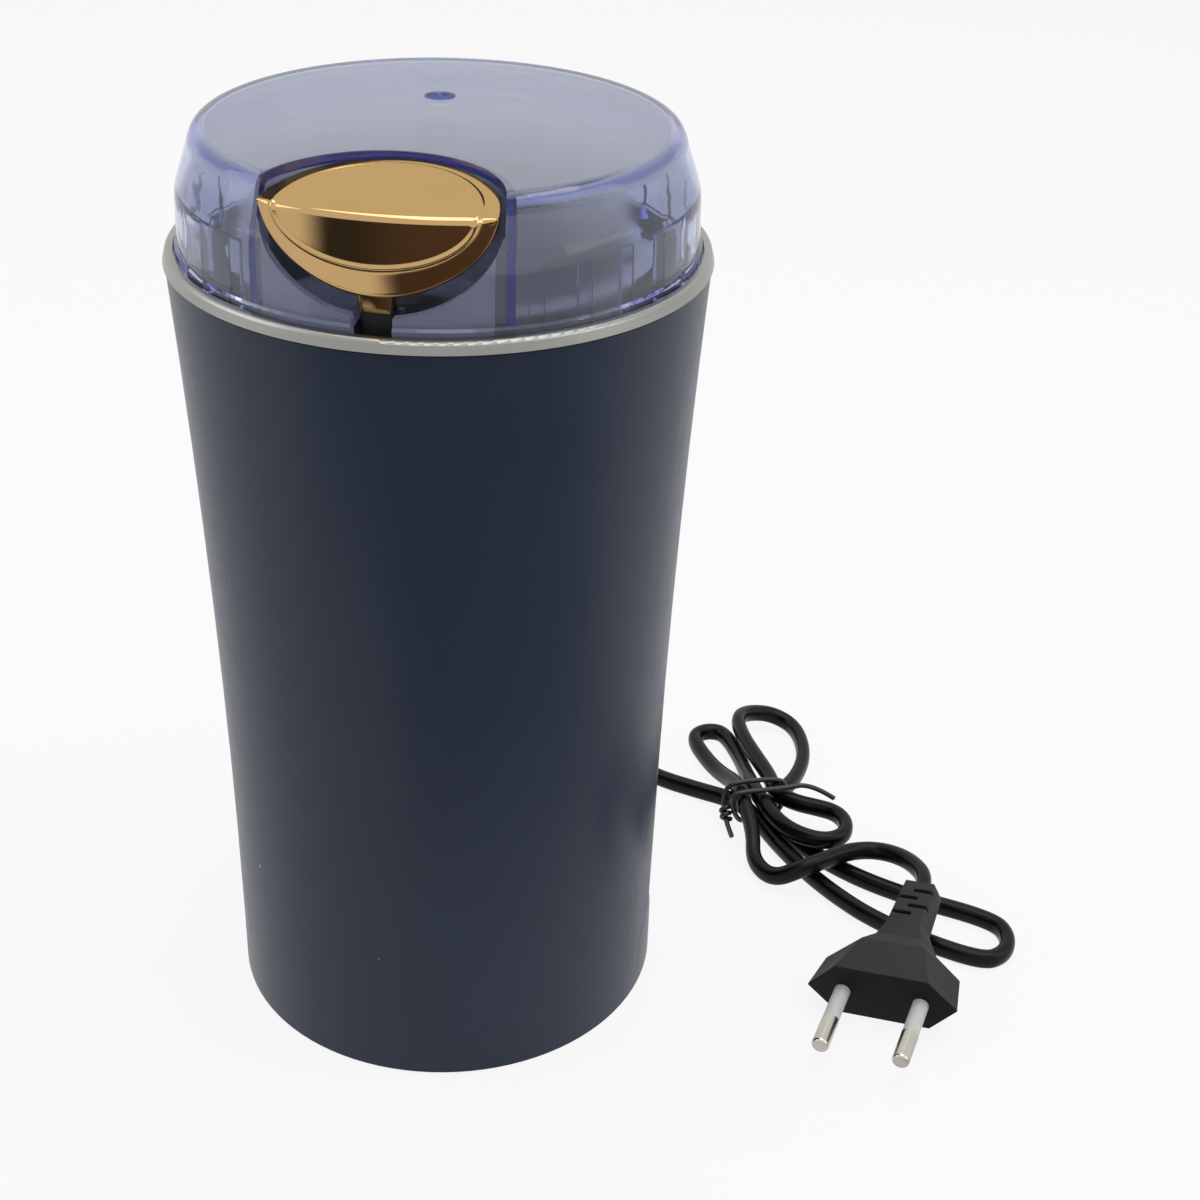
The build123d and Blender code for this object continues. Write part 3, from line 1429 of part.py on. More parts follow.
cord_length = lead_path.length + hank_path.length + tail_path.length
section_area = pi * cord_radius**2
for cord_name, cord_part, cord_path in (
    ("lead", cord_lead.part, lead_path),
    ("hank", cord_hank.part, hank_path),
    ("tail", cord_tail.part, tail_path),
):
    print(f"cord {cord_name}: {cord_path.length:.1f} mm, volume {cord_part.volume:.0f},"
          f" section times length {section_area * cord_path.length:.0f}")
print(f"cord length {cord_length:.1f} mm")
print("lead radii", [round(r, 1) for r in lead_radii])
print("hank radii", [round(r, 1) for r in hank_radii])
print("tail radii", [round(r, 1) for r in tail_radii])
cord_line = middle_line([lead_path, hank_path, tail_path])
print(f"cord's least gap to itself {gap_to_itself(cord_line, cord_diameter, 12.0):.2f} mm")

# Twist tie: one wire, wound once and a half round the bundle, with two tails
tie_radius = tie_wire / 2
tie_low = tie_radius + floor_gap
tie_high = cord_rest + waist_lift + layer + cord_radius + tie_radius + 1.0
tie_side = waist[2][0] + cord_radius + tie_radius + 1.6
tie_top = tie_side - 2.8
tie_foot = waist[1][0] + 4.6
tie_points = [
    from_tie(7.0, tie_side + 9.0, tie_high - 4.6),
    from_tie(4.0, tie_side + 3.4, tie_high - 0.4),
    from_tie(2.6, tie_top, tie_high),
    from_tie(1.8, -tie_top, tie_high),
    from_tie(1.2, -tie_side, tie_high - 4.2),
    from_tie(0.6, -tie_foot, tie_low),
    from_tie(-0.6, tie_foot, tie_low),
    from_tie(-1.2, tie_side, tie_high - 4.2),
    from_tie(-1.8, tie_top, tie_high),
    from_tie(-2.6, -tie_top, tie_high),
    from_tie(-3.2, -tie_side - 1.6, tie_high - 3.2),
    from_tie(-2.0, -tie_side - 2.4, tie_high - 8.0),
    from_tie(2.4, -tie_side - 2.6, tie_low + 1.4),
    from_tie(6.8, -tie_side - 1.8, tie_low + 0.6),
]
tie_tube, tie_path = tube(tie_points, tie_radius, 0.32)
with BuildPart() as cord_tie:
    add(tie_tube)
cord_tie.part.label = "cord_tie"
export_step(cord_tie.part, "parts/cord_tie.step")
tie_line = middle_line([tie_path])
tie_to_cord = min(dist(a, b) for a in tie_line for b in cord_line) - cord_radius - tie_radius
print(f"tie's least gap to itself {gap_to_itself(tie_line, tie_wire, 5.0):.2f} mm")
print(f"tie's least gap to the cord {tie_to_cord:.2f} mm")


def plug_section(width, thickness, flat):
    """Six-sided section of the plug."""
    Polygon(
        (-width / 2, 0),
        (-flat / 2, thickness / 2),
        (flat / 2, thickness / 2),
        (width / 2, 0),
        (flat / 2, -thickness / 2),
        (-flat / 2, -thickness / 2),
    )


# Two-pin plug: six-sided head, hollow taper and a slotted neck
plug_sections = [
    (0, plug_width, plug_thickness, plug_flat),
    (plug_head, plug_back_width, plug_back_thickness, plug_back_flat),
    (plug_head + plug_taper / 2, plug_waist_width, plug_waist_thickness, plug_waist_flat),
    (plug_head + plug_taper, plug_neck_width, plug_neck_thickness, plug_neck_flat),
    (
        plug_length,
        plug_neck_width - plug_neck_narrow,
        plug_neck_thickness - plug_neck_narrow,
        plug_neck_flat - plug_neck_narrow / 2,
    ),
]
with BuildPart() as plug_body:
    for section_at, section_width, section_thickness, section_flat in plug_sections:
        with BuildSketch(plug_plane.offset(section_at)):
            plug_section(section_width, section_thickness, section_flat)
    loft(ruled=True)
    for slot_index in range(neck_slot_count):
        slot_from = plug_head + plug_taper + (slot_index + 0.6) * neck_slot_pitch
        slot_side = 1 if slot_index % 2 else -1
        with BuildSketch(plug_plane.offset(slot_from)):
            with Locations(
                (slot_side * plug_neck_width / 3, plug_neck_thickness / 2),
                (slot_side * plug_neck_width / 3, -plug_neck_thickness / 2),
            ):
                Rectangle(plug_neck_width * 0.8, 2 * neck_slot_depth)
        extrude(amount=neck_slot_width, mode=Mode.SUBTRACT)
plug_body.part.label = "plug_body"
export_step(plug_body.part, "parts/plug_body.step")

# Insulated sleeves and bare tips of the pins
with BuildPart() as pin_sleeves:
    with BuildSketch(plug_plane):
        with GridLocations(pin_spacing, 0, 2, 1):
            Circle(plug_pin_sleeve_radius)
    extrude(amount=-plug_pin_sleeve)
pin_sleeves.part.label = "pin_sleeves"
export_step(pin_sleeves.part, "parts/pin_sleeves.step")

with BuildPart() as plug_pins:
    with BuildSketch(plug_plane.offset(-plug_pin_sleeve)):
        with GridLocations(pin_spacing, 0, 2, 1):
            Circle(plug_pin_radius)
    extrude(amount=-plug_pin_tip)
    tip_faces = plug_pins.faces().filter_by(GeomType.PLANE).sort_by(Axis(plug_face_at, tuple(pins_way)))[-2:]
    fillet(tip_faces.edges(), radius=plug_pin_round)
plug_pins.part.label = "plug_pins"
export_step(plug_pins.part, "parts/plug_pins.step")

print(f"lever hinge at z {lever_hinge:.2f}, pin's spring seat at z {pocket_floor_top:.2f}")
print(f"bowl from z {bowl_floor:.2f} to {bowl_rim:.2f}")
print(f"blade's top at z {blade_seat + blade_lift + blade_thickness:.2f}")
print(f"lid from z {lid_bottom:.2f} to {lid_top:.2f}")
print(f"lid chamber's back at y {button_corner_y + button_back_depth:.2f}")
print(f"cord leaves the strain relief at y {relief_end:.2f}")
print("cord enters the plug at", tuple(round(v, 2) for v in plug_end))
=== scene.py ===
# %% [markdown]
# This lesson dresses an electric blade grinder: a dark blue body, a silver ring, a clear
# lid with a gold push button, and a mains cord tied in a hank. The construction model
# already holds every piece at its real size. We load it as a fixed frame, and then give
# it light, a camera, a soft cord and real finishes. All lengths in Blender are metres.

# %% Load the frame
import bmesh
import bpy
from math import cos, exp, hypot, pi, radians, sin, tan
from mathutils import Matrix, Vector


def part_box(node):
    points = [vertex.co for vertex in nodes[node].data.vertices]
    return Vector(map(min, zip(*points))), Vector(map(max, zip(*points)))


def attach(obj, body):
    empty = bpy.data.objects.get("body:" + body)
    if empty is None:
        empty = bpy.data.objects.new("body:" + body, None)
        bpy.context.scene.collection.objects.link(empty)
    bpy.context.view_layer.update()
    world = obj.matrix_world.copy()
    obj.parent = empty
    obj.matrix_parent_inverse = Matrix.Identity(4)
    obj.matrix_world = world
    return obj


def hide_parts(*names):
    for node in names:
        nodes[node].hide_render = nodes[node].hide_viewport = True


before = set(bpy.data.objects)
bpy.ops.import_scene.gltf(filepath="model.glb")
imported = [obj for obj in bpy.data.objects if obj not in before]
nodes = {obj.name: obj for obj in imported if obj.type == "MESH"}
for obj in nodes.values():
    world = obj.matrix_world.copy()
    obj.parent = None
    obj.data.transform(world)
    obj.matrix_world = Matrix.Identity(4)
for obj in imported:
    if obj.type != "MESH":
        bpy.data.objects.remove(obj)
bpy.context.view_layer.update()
scene = bpy.context.scene
MM = 0.001

# %% [markdown]
# The camera comes first, because everything else is judged through it. Its place was
# found by fitting the round edges of the lid, the ring and the foot to the photograph.
# Blender's camera looks along its own -Z, so its axes are: right, up, and back.

# %% Camera
camera_at = Vector((89.636, -359.512, 307.823)) * MM
yaw, pitch, roll, turn = (radians(angle) for angle in (5.2617, 29.9377, 1.9477, 14.0))
ahead = Vector((sin(yaw) * cos(pitch), cos(yaw) * cos(pitch), -sin(pitch)))
level = ahead.cross(Vector((0, 0, 1))).normalized()
above = level.cross(ahead)
right = level * cos(roll) + above * sin(roll)
up = above * cos(roll) - level * sin(roll)
axes = Matrix((right, up, -ahead)).transposed()
camera = bpy.data.objects.new("camera", bpy.data.cameras.new("camera"))
camera.data.sensor_width = 36.0
camera.data.lens = 58.19
camera.matrix_world = Matrix.Translation(camera_at) @ (Matrix.Rotation(turn, 3, "Z") @ axes).to_4x4()
scene.collection.objects.link(camera)
scene.camera = camera
print("camera at", tuple(round(v, 3) for v in camera_at))

# %% [markdown]
# The mains cord is one smooth NURBS line. Its control points are the route that the
# construction model used: a lead from the body, four loops that pass a wire tie, and a
# tail to the plug. A few are moved by some millimetres, to follow the photograph. A NURBS
# line of order 3 rounds every corner by itself, which is how a soft cord bends, so no
# corner is rounded by hand. Places on the route are written in millimetres.

# %% Route of the lead and the tail
relief_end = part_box("strain_relief")[1][1] / MM
cord_width = 4.2
cord_height = 16.0  # where it leaves the body
floor_gap = 0.2
cord_rest = cord_width / 2 + floor_gap
plug_face = Vector((104.6, -12.0, 8.6))
heading, dip = radians(-12.0), radians(3.5)
plug_length = 37.4
plug_lead_in = 6.4  # straight cord before the neck
pins_way = Vector((sin(heading) * cos(dip), -cos(heading) * cos(dip), -sin(dip)))
plug_end = plug_face - pins_way * plug_length
lead_points = [
    (0.0, relief_end, cord_height), (0.0, relief_end + 8.0, cord_height),
    (5.0, relief_end + 20.0, 10.0), (16.5, relief_end + 22.5, 4.4),
    (29.0, 79.6, cord_rest), (40.5, 72.8, cord_rest), (51.5, 69.4, cord_rest),
    (61.5, 66.6, 2.5),
]
tail_points = [
    (69.2, 49.0, 5.6), (70.0, 40.6, 2.6), (75.8, 34.2, 2.6), (82.8, 33.8, 7.4),
    (88.4, 38.0, 8.0), (93.8, 43.0, 7.6), (99.6, 45.6, 7.2), (105.2, 43.8, 8.2),
    (110.2, 38.8, 9.8), tuple(plug_end - pins_way * plug_lead_in), tuple(plug_end),
]
print("cord leaves at y", round(relief_end, 2), "and ends at", [round(v, 2) for v in plug_end])

# %% [markdown]
# Each loop of the hank leaves the tie, turns round at its end and comes back to the tie.
# Its middle line is an arc with a lean and a bend, and its two limbs swing out from that
# line and close again. Loose loops all differ, so each has its own row of numbers. The
# passes lie side by side in two layers, as tight as the tie holds them.

# %% Loops of the hank
tie_x, tie_y, tie_turn = 69.0, 62.0, radians(-63.4)
layer_gap = 1.0
layer = cord_width + layer_gap
waist_lift = 1.5  # lowest pass in the tie, above the floor's layer
waist_step = 4.2  # from one layer in the tie to the next
# place across the tie and layer of each pass
waist = [(-2.15, 0), (2.15, 0), (4.6, 1), (0.0, 1), (-4.6, 1.2)]
# side of the tie, side of the first limb, reach, lean and bend in degrees, width,
# layers at both limbs, where it is fully wide, where it is fully down, places of its points
hank_loops = [
    (1, -1, 80.0, 5.0, 52.0, 17.0, (0, 0), 0.95, 0.25, (0.2, 0.42, 0.64)),
    (-1, 1, 46.0, 44.0, -44.0, 18.0, (0, 1), 0.7, 0.5, (0.2, 0.42, 0.64)),
    (1, 1, 26.0, 22.0, 38.0, 13.5, (1, 1), 0.6, 0.5, (0.36, 0.6)),
    (-1, 1, 40.0, 2.0, -5.0, 9.8, (0, 0), 0.8, 0.6, (0.2, 0.42, 0.64)),
]


def from_tie(along, across, height):
    """Point of the hank, from the tie's frame to the part's frame."""
    return (
        tie_x + along * cos(tie_turn) - across * sin(tie_turn),
        tie_y + along * sin(tie_turn) + across * cos(tie_turn),
        height,
    )


def waist_point(index):
    """Where the cord passes the tie for the given time."""
    across, tier = waist[index]
    return from_tie(0.0, across, cord_rest + waist_lift + waist_step * tier)


def loop_points(loop, leaving, coming):
    """Points of one loop, from one pass of the tie to the next."""
    side, first, reach, lean, bend, width, tiers, splay, drop, steps = loop
    half, swing = width / 2, reach / radians(bend)

    def middle(share):
        """Place on the loop's middle line, and the way aside from it."""
        here = radians(lean + bend * share)
        along = side * swing * (sin(here) - sin(radians(lean)))
        return along, swing * (cos(radians(lean)) - cos(here)), -side * sin(here), cos(here)

    def limb(share, limb_side, pass_at, tier):
        """Point of one limb, which swings out from the middle line and comes down from the tie."""
        along, across, way_s, way_t = middle(share)
        spread = min(1.0, share / splay)
        hold = (1 - spread) ** 2
        aside = limb_side * half * sin(pi / 2 * spread) * (1 - hold) + waist[pass_at][0] * hold
        high = max(0.0, 1 - share / drop)
        climb = waist_lift + waist_step * waist[pass_at][1] - layer * tier
        height = cord_rest + layer * tier + climb * high * high * (3 - 2 * high)
        return from_tie(along + way_s * aside, across + way_t * aside, height)

    points = [limb(share, first, leaving, tiers[0]) for share in steps]
    corner = tan(pi / 8)
    bow = [(corner, 1), (1, corner), (1, -corner), (corner, -1)]
    for step, (ahead_by, aside_by) in enumerate(bow):
        along, across, way_s, way_t = middle(1 - half / reach + ahead_by * half / reach)
        height = cord_rest + layer * (tiers[0] + (tiers[1] - tiers[0]) * step / (len(bow) - 1))
        out = first * aside_by * half
        points.append(from_tie(along + way_s * out, across + way_t * out, height))
    return points + [limb(share, -first, coming, tiers[1]) for share in reversed(steps)]


hank_points = [waist_point(0)]
for index, loop in enumerate(hank_loops):
    hank_points += loop_points(loop, index, index + 1) + [waist_point(index + 1)]
print(len(hank_points), "points in the hank")

# %% [markdown]
# The cord's section is an oval, a little higher than it is wide, which the curve carries
# along as its bevel. The tie is a thin covered wire: it is wound round the passes, one end
# stands off, and the other is twisted. Its points are listed one by one, because it lies
# against a bundle that is itself loose.

# %% Smooth lines


def oval(name, width, height):
    """A closed outline that a line can carry as its section, in millimetres."""
    outline = bpy.data.curves.new(name, "CURVE")
    outline.dimensions = "2D"
    ring = outline.splines.new("NURBS")
    ring.points.add(3)
    corners = [(1, 1), (-1, 1), (-1, -1), (1, -1)]
    for point, (across, upward) in zip(ring.points, corners):
        point.co = (across * width / 2 * MM, upward * height / 2 * MM, 0.0, 1.0)
    ring.order_u = 3
    ring.use_cyclic_u = True
    ring.resolution_u = 8
    return bpy.data.objects.new(name, outline)


def soft_line(name, points, radius, section=None):
    """A smooth line through control points in millimetres, round or with a section."""
    curve = bpy.data.curves.new(name, "CURVE")
    curve.dimensions = "3D"
    line = curve.splines.new("NURBS")
    line.points.add(len(points) - 1)
    for point, place in zip(line.points, points):
        point.co = (*(Vector(place) * MM), 1.0)
    line.order_u = 3
    line.use_endpoint_u = True
    line.resolution_u = 10
    curve.bevel_depth = radius * MM
    curve.bevel_resolution = 6
    curve.twist_mode = "Z_UP"
    if section:
        curve.bevel_mode = "OBJECT"
        curve.bevel_object = section
    curve.use_fill_caps = True
    piece = bpy.data.objects.new(name, curve)
    scene.collection.objects.link(piece)
    return piece


cord_section = oval("cord_section", width=3.8, height=4.6)
cord_points = lead_points + hank_points + tail_points
mains_cord = soft_line("mains_cord", cord_points, cord_width / 2, cord_section)
print("cord of", len(cord_points), "points")

# %% Wire tie
tie_radius = 0.65
# along, across and height from the tie's middle, from the free end to the twisted end
tie_points = [from_tie(*place) for place in (
    (7.0, 18.7, 8.6), (4.0, 13.0, 12.4), (2.6, 6.2, 11.1), (1.9, -6.2, 11.6),
    (1.5, -8.0, 10.0), (1.2, -7.9, 7.4), (0.9, -6.0, 2.2), (0.6, -3.9, 0.85),
    (-0.6, 4.6, 0.85), (-0.9, 7.2, 2.0), (-1.2, 8.4, 6.2), (-1.5, 8.1, 9.4),
    (-1.8, 6.0, 11.2), (-2.6, -6.0, 11.7), (-3.0, -8.2, 9.6), (-2.6, -8.6, 6.8),
    (-1.0, -9.0, 4.4), (2.4, -9.4, 2.25), (6.8, -9.6, 1.45),
)]
wire_tie = soft_line("wire_tie", tie_points, tie_radius)
twist_from, twist_to = Vector(tie_points[-4]), Vector(tie_points[-2])
twist_way = (twist_to - twist_from).normalized()
twist_turns, twist_steps, twist_radius = 2.5, 20, 1.15
twist_start, twist_run = 0.25, 0.6  # shares of the way from the first point to the last
twist_arm = twist_way.orthogonal().normalized() * twist_radius
twist_points = [
    twist_from.lerp(twist_to, twist_start + twist_run * step / twist_steps)
    + Matrix.Rotation(2 * pi * twist_turns * step / twist_steps, 3, twist_way) @ twist_arm
    for step in range(twist_steps + 1)]
tie_twist = soft_line("tie_twist", twist_points, tie_radius)
print("tie of", len(tie_points), "points, twisted over", len(twist_points))

# %% [markdown]
# Pieces with a hard shape start from the frame. A copy of a construction mesh arrives as
# loose triangles, so it is merged first, and triangles that lie in one plane are joined
# again. Then a small bevel can run along each sharp edge, and that thin rounded line is
# what catches the light on a moulded or pressed edge. Modelling the piece again from a
# blank mesh would work too, but it could drift from the frame.

# %% Soft-edged copy of the plug
merge_within, flat_within = 0.002 * MM, radians(0.05)


def soft_edged(node, name, width, angle):
    """A merged copy of a node whose edges past an angle are rounded by a bevel."""
    shape = bmesh.new()
    shape.from_mesh(nodes[node].data)
    bmesh.ops.remove_doubles(shape, verts=shape.verts[:], dist=merge_within)
    bmesh.ops.dissolve_limit(shape, angle_limit=flat_within, verts=shape.verts[:], edges=shape.edges[:])
    mesh = bpy.data.meshes.new(name)
    shape.to_mesh(mesh)
    shape.free()
    mesh.shade_smooth()
    piece = bpy.data.objects.new(name, mesh)
    scene.collection.objects.link(piece)
    rounding = piece.modifiers.new("rounding", "BEVEL")
    rounding.width = width * MM
    rounding.segments = 3
    rounding.limit_method = "ANGLE"
    rounding.angle_limit = radians(angle)
    rounding.harden_normals = True
    print(name, "has", len(mesh.polygons), "faces before its bevel")
    return piece


plug_shell = soft_edged("plug_body", "plug_shell", width=0.7, angle=9.0)

# %% [markdown]
# The plug's head stays wide up to its shoulder, and a hollow leads from there to a short
# neck. The copy is moulded to that shape: each point knows how far it lies behind the
# face, and moves from the construction's six-sided section to the one in the photograph.

# %% Mould the plug
plug_roll = radians(7.0)
on_row = 0.01  # a point this near a row belongs to it
level_way = Vector((cos(heading), sin(heading), 0.0))
width_way = level_way * cos(plug_roll) + pins_way.cross(level_way) * sin(plug_roll)
height_way = pins_way.cross(width_way)
# distance behind the face, width, flat, thickness, and how far the side corners lie ahead:
# first in the construction, then as moulded
plug_rows = [
    ((0.0, 35.3, 22.0, 13.7, 0.0), (0.0, 35.3, 22.0, 13.7, 0.0)),
    ((11.5, 27.0, 17.0, 12.6, 0.0), (12.0, 32.0, 15.0, 12.9, 2.0)),
    ((17.5, 16.4, 10.8, 11.0, 0.0), (16.6, 18.0, 9.6, 9.6, 0.0)),
    ((23.5, 11.0, 7.2, 9.8, 0.0), (22.6, 11.6, 7.6, 9.9, 0.0)),
    ((41.0, 9.8, 6.6, 8.6, 0.0), (plug_length, 10.4, 7.0, 8.9, 0.0)),
]


def plug_sections(behind):
    """The plug's section at a distance behind its face, in the construction and as moulded."""
    starts = [row[0][0] for row in plug_rows]
    row = sum(start < behind - on_row for start in starts[1:-1])
    share = (behind - starts[row]) / (starts[row + 1] - starts[row])
    return [[here + (there - here) * share for here, there in zip(*pair)]
            for pair in zip(plug_rows[row], plug_rows[row + 1])]


def moulded(place):
    """Where a point of the plug goes, in metres."""
    offset = place / MM - plug_face
    across, high = offset.dot(width_way), offset.dot(height_way)
    before, after = plug_sections(-offset.dot(pins_way))
    _, old_width, old_flat, old_thickness, _ = before
    behind, width, flat, thickness, lead = after
    rise = min(1.0, abs(high) / (old_thickness / 2))
    widen = (width + (flat - width) * rise) / (old_width + (old_flat - old_width) * rise)
    thicken = thickness / old_thickness
    back = pins_way * (behind - lead * (1 - rise))
    return MM * (plug_face - back + width_way * across * widen + height_way * high * thicken)


for vert in plug_shell.data.vertices:
    vert.co = moulded(vert.co)
print("plug moulded, now", plug_length, "mm long")

# %% [markdown]
# The push button is a lens seen from above and a half ellipse seen from the front. A thin
# bead and a raised panel run over both faces, and its front edge is rounded. A mirror
# finish shows every flaw of a mesh, so the button is one fine sheet: a grid whose columns
# each wrap once round the button's section at one place across it. The bead and the panel
# are then a change of height along the face's normal. A Boolean of two prisms with bevels
# would give the outline too, but with long thin faces that spoil the reflections.

# %% Sizes of the push button
button_low, button_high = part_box("push_button")
crown_room = 0.5  # for the bead and the panel, above the plain top
button_top = button_high[2] / MM - crown_room
lens_half, lens_back, lens_front, lens_radius = 21.5, 23.8, 17.2, 51.3
panel_half, panel_back, panel_front = lens_half - 3.2, lens_back - 3.6, 9.6
edge_round, bead_height, bead_width, panel_rise, panel_soft = 1.1, 0.3, 0.5, 0.2, 0.12
edge_share = 0.45  # most of a thin place that its rounded edge may take
end_fade = 4.0  # how quickly bead and panel rise from the button's two ends
band_lean = 0.26  # the band round the panel leans back by this much of its width
corner_drop = 2.2  # corners below the top
edge_drop = 1.45  # front edge below the top, in the middle
side_lift = 0.62  # lower edge raised at its sides, so that it clears the lid when pressed
corner_y = -((lens_radius ** 2 - lens_half ** 2) ** 0.5)
# runs round the section and the steps in each
section_runs = [("bottom", 8), ("front_foot", 6), ("front", 70), ("front_edge", 10),
                ("top", 90), ("back_edge", 6), ("back", 8), ("back_foot", 4)]
stations = [(run, step / steps) for run, steps in section_runs for step in range(steps)]
stations.append(("bottom", 0.0))
print("section of", len(stations), "rows")

# %% Section of the push button


def past_panel(across, depth, deepest):
    """How far a place on a face lies outside the panel's elliptical edge."""
    reach = hypot(across / panel_half, depth / deepest)
    slope = hypot(across / panel_half ** 2, depth / deepest ** 2)
    return -panel_half if slope < 1e-6 else (reach - 1) * reach / slope


def button_place(across, run, share):
    """Place on the button's skin at a distance across, along one run of its section."""
    depth = max(0.0, 1 - (across / lens_half) ** 2) ** 0.5
    front, back = -((lens_radius ** 2 - across ** 2) ** 0.5), corner_y + lens_back * depth
    rear = button_top - corner_drop * (1 - depth)
    brow = rear - edge_drop * depth
    foot = rear - lens_front * depth + side_lift * (1 - (2 * depth - 1) ** 4)
    bend = min(edge_round, edge_share * (back - front), edge_share * (brow - foot))
    inner, turn = bend / 2, pi / 2 * share
    near, upward = Vector((across / lens_radius, front / lens_radius, 0.0)), Vector((0, 0, 1))

    def between(start, end):
        """Value part of the way along the run."""
        return start * (1 - share) + end * share

    foot_lean = band_lean * max(0.0, past_panel(across, brow - foot - bend, panel_front))
    if run == "bottom":
        return Vector((across, between(back - inner, front + bend + foot_lean), foot))
    if run == "front_foot":
        low = foot + bend - bend * cos(turn)
        return Vector((across, front + bend - bend * sin(turn) + foot_lean, low))
    if run == "back_edge":
        return Vector((across, back - inner + inner * sin(turn), rear - inner + inner * cos(turn)))
    if run == "back":
        return Vector((across, back, between(rear - inner, foot + inner)))
    if run == "back_foot":
        return Vector((across, back - inner + inner * cos(turn), foot + inner - inner * sin(turn)))
    if run == "front":
        place, normal = Vector((across, front, between(foot + bend, brow - bend))), near
        outside = past_panel(across, brow - place.z, panel_front)
        lean = band_lean * max(0.0, outside)
    else:
        if run == "front_edge":
            high = brow - bend + bend * sin(turn)
            place = Vector((across, front + bend - bend * cos(turn), high))
            normal = near * cos(turn) + upward * sin(turn)
        else:
            place = Vector((across, between(front + bend, back - inner), between(brow, rear)))
            normal = upward
        outside = past_panel(across, max(0.0, place.y - corner_y), panel_back)
        lean = band_lean * max(0.0, outside) * (1 - share) if run == "front_edge" else 0.0
    bead = bead_height * exp(-((outside / bead_width) ** 2))
    panel = panel_rise / (1 + exp(outside / panel_soft))
    return place + normal * (bead + panel) * min(1.0, depth * end_fade) - near * lean


front_middle = button_place(0.0, "front", 0.5)
print("middle of the button's front at", [round(v, 2) for v in front_middle])

# %% Skin of the push button
columns, rows = 150, len(stations) - 1
seam_within = 0.004  # the sheet's first and last rows meet, and each end is one point
button_shape = bmesh.new()
skin = bmesh.ops.create_grid(button_shape, x_segments=columns, y_segments=rows, size=0.5)["verts"]
for vert in skin:
    run, share = stations[round((vert.co.y + 0.5) * rows)]
    vert.co = button_place(lens_half * sin(pi * vert.co.x), run, share)
bmesh.ops.remove_doubles(button_shape, verts=skin, dist=seam_within)
bmesh.ops.recalc_face_normals(button_shape, faces=button_shape.faces[:])
print("skin of", len(button_shape.faces), "faces")

# %% Stem of the push button
stem_width, stem_depth, stem_height, stem_set_back, stem_round = 6.2, 4.0, 12.0, 2.3, 0.4
stem_middle = (0.0, stem_set_back + stem_depth / 2 - lens_radius, button_low[2] / MM + stem_height / 2)
stem = bmesh.ops.create_cube(button_shape, size=1.0)["verts"]
bmesh.ops.scale(button_shape, vec=(stem_width, stem_depth, stem_height), verts=stem)
bmesh.ops.translate(button_shape, vec=stem_middle, verts=stem)
stem_edges = list({edge for vert in stem for edge in vert.link_edges})
bmesh.ops.bevel(button_shape, geom=stem_edges, offset=stem_round, offset_type="OFFSET",
                segments=2, profile=0.5, affect="EDGES", material=-1)
bmesh.ops.scale(button_shape, vec=(MM, MM, MM), verts=button_shape.verts[:])
button_mesh = bpy.data.meshes.new("gold_button")
button_shape.to_mesh(button_mesh)
button_shape.free()
button_mesh.shade_smooth()
gold_button = bpy.data.objects.new("gold_button", button_mesh)
scene.collection.objects.link(gold_button)
print("gold button of", len(button_mesh.polygons), "faces")

# %% [markdown]
# Every finish is worked out by nodes from the object's own coordinates, so it needs no
# picture and stays in place when a piece moves. Writing node trees by hand is long, so a
# small class wraps a socket and lets Python sums add the Math nodes. A second class builds
# a node tree, and a third one a whole material.

# %% Sums on sockets


class Wire:
    """A socket of a node tree that can be used in sums."""

    def __init__(self, shading, socket):
        self.shading, self.socket = shading, socket

    def sum(self, operation, first, second):
        """One Math node."""
        return self.shading.node("ShaderNodeMath", {"operation": operation}, {0: first, 1: second})

    def __add__(self, other):
        return self.sum("ADD", self, other)

    __radd__ = __add__

    def __sub__(self, other):
        return self.sum("SUBTRACT", self, other)

    def __rsub__(self, other):
        return self.sum("SUBTRACT", other, self)

    def __mul__(self, other):
        return self.sum("MULTIPLY", self, other)

    __rmul__ = __mul__

    def __lt__(self, other):
        return self.sum("LESS_THAN", self, other)

    def __gt__(self, other):
        return self.sum("GREATER_THAN", self, other)


print("sums on sockets ready")

# %% Node trees


class Shading:
    """A node tree that is built by one method."""

    def __init__(self, tree):
        self.tree = tree

    def put(self, socket, value):
        """Links a wire to a socket, or sets the socket's fixed value."""
        if isinstance(value, Wire):
            self.tree.links.new(value.socket, socket)
        else:
            socket.default_value = value

    def node(self, kind, settings=None, values=None, out=None):
        """A node with its settings, then its inputs, and the named or first of its outputs."""
        made = self.tree.nodes.new(kind)
        for key, value in (settings or {}).items():
            setattr(made, key, value)
        for key, value in (values or {}).items():
            found = made.inputs[key] if isinstance(key, int) else next(
                socket for socket in made.inputs if socket.name == key and socket.enabled)
            self.put(found, value)
        shown = [socket for socket in made.outputs if socket.enabled]
        return Wire(self, next((socket for socket in shown if socket.name == out), shown[0]))

    def axes(self, place):
        """The three coordinates of a place."""
        return [self.node("ShaderNodeSeparateXYZ", None, {"Vector": place}, axis) for axis in "XYZ"]

    def fades(self, value, start, end):
        """0 before the start and 1 after the end, with a smooth passage."""
        return self.node("ShaderNodeMapRange", {"interpolation_type": "SMOOTHSTEP"},
                         {"Value": value, "From Min": start, "From Max": end})


print("node trees ready")

# %% Materials


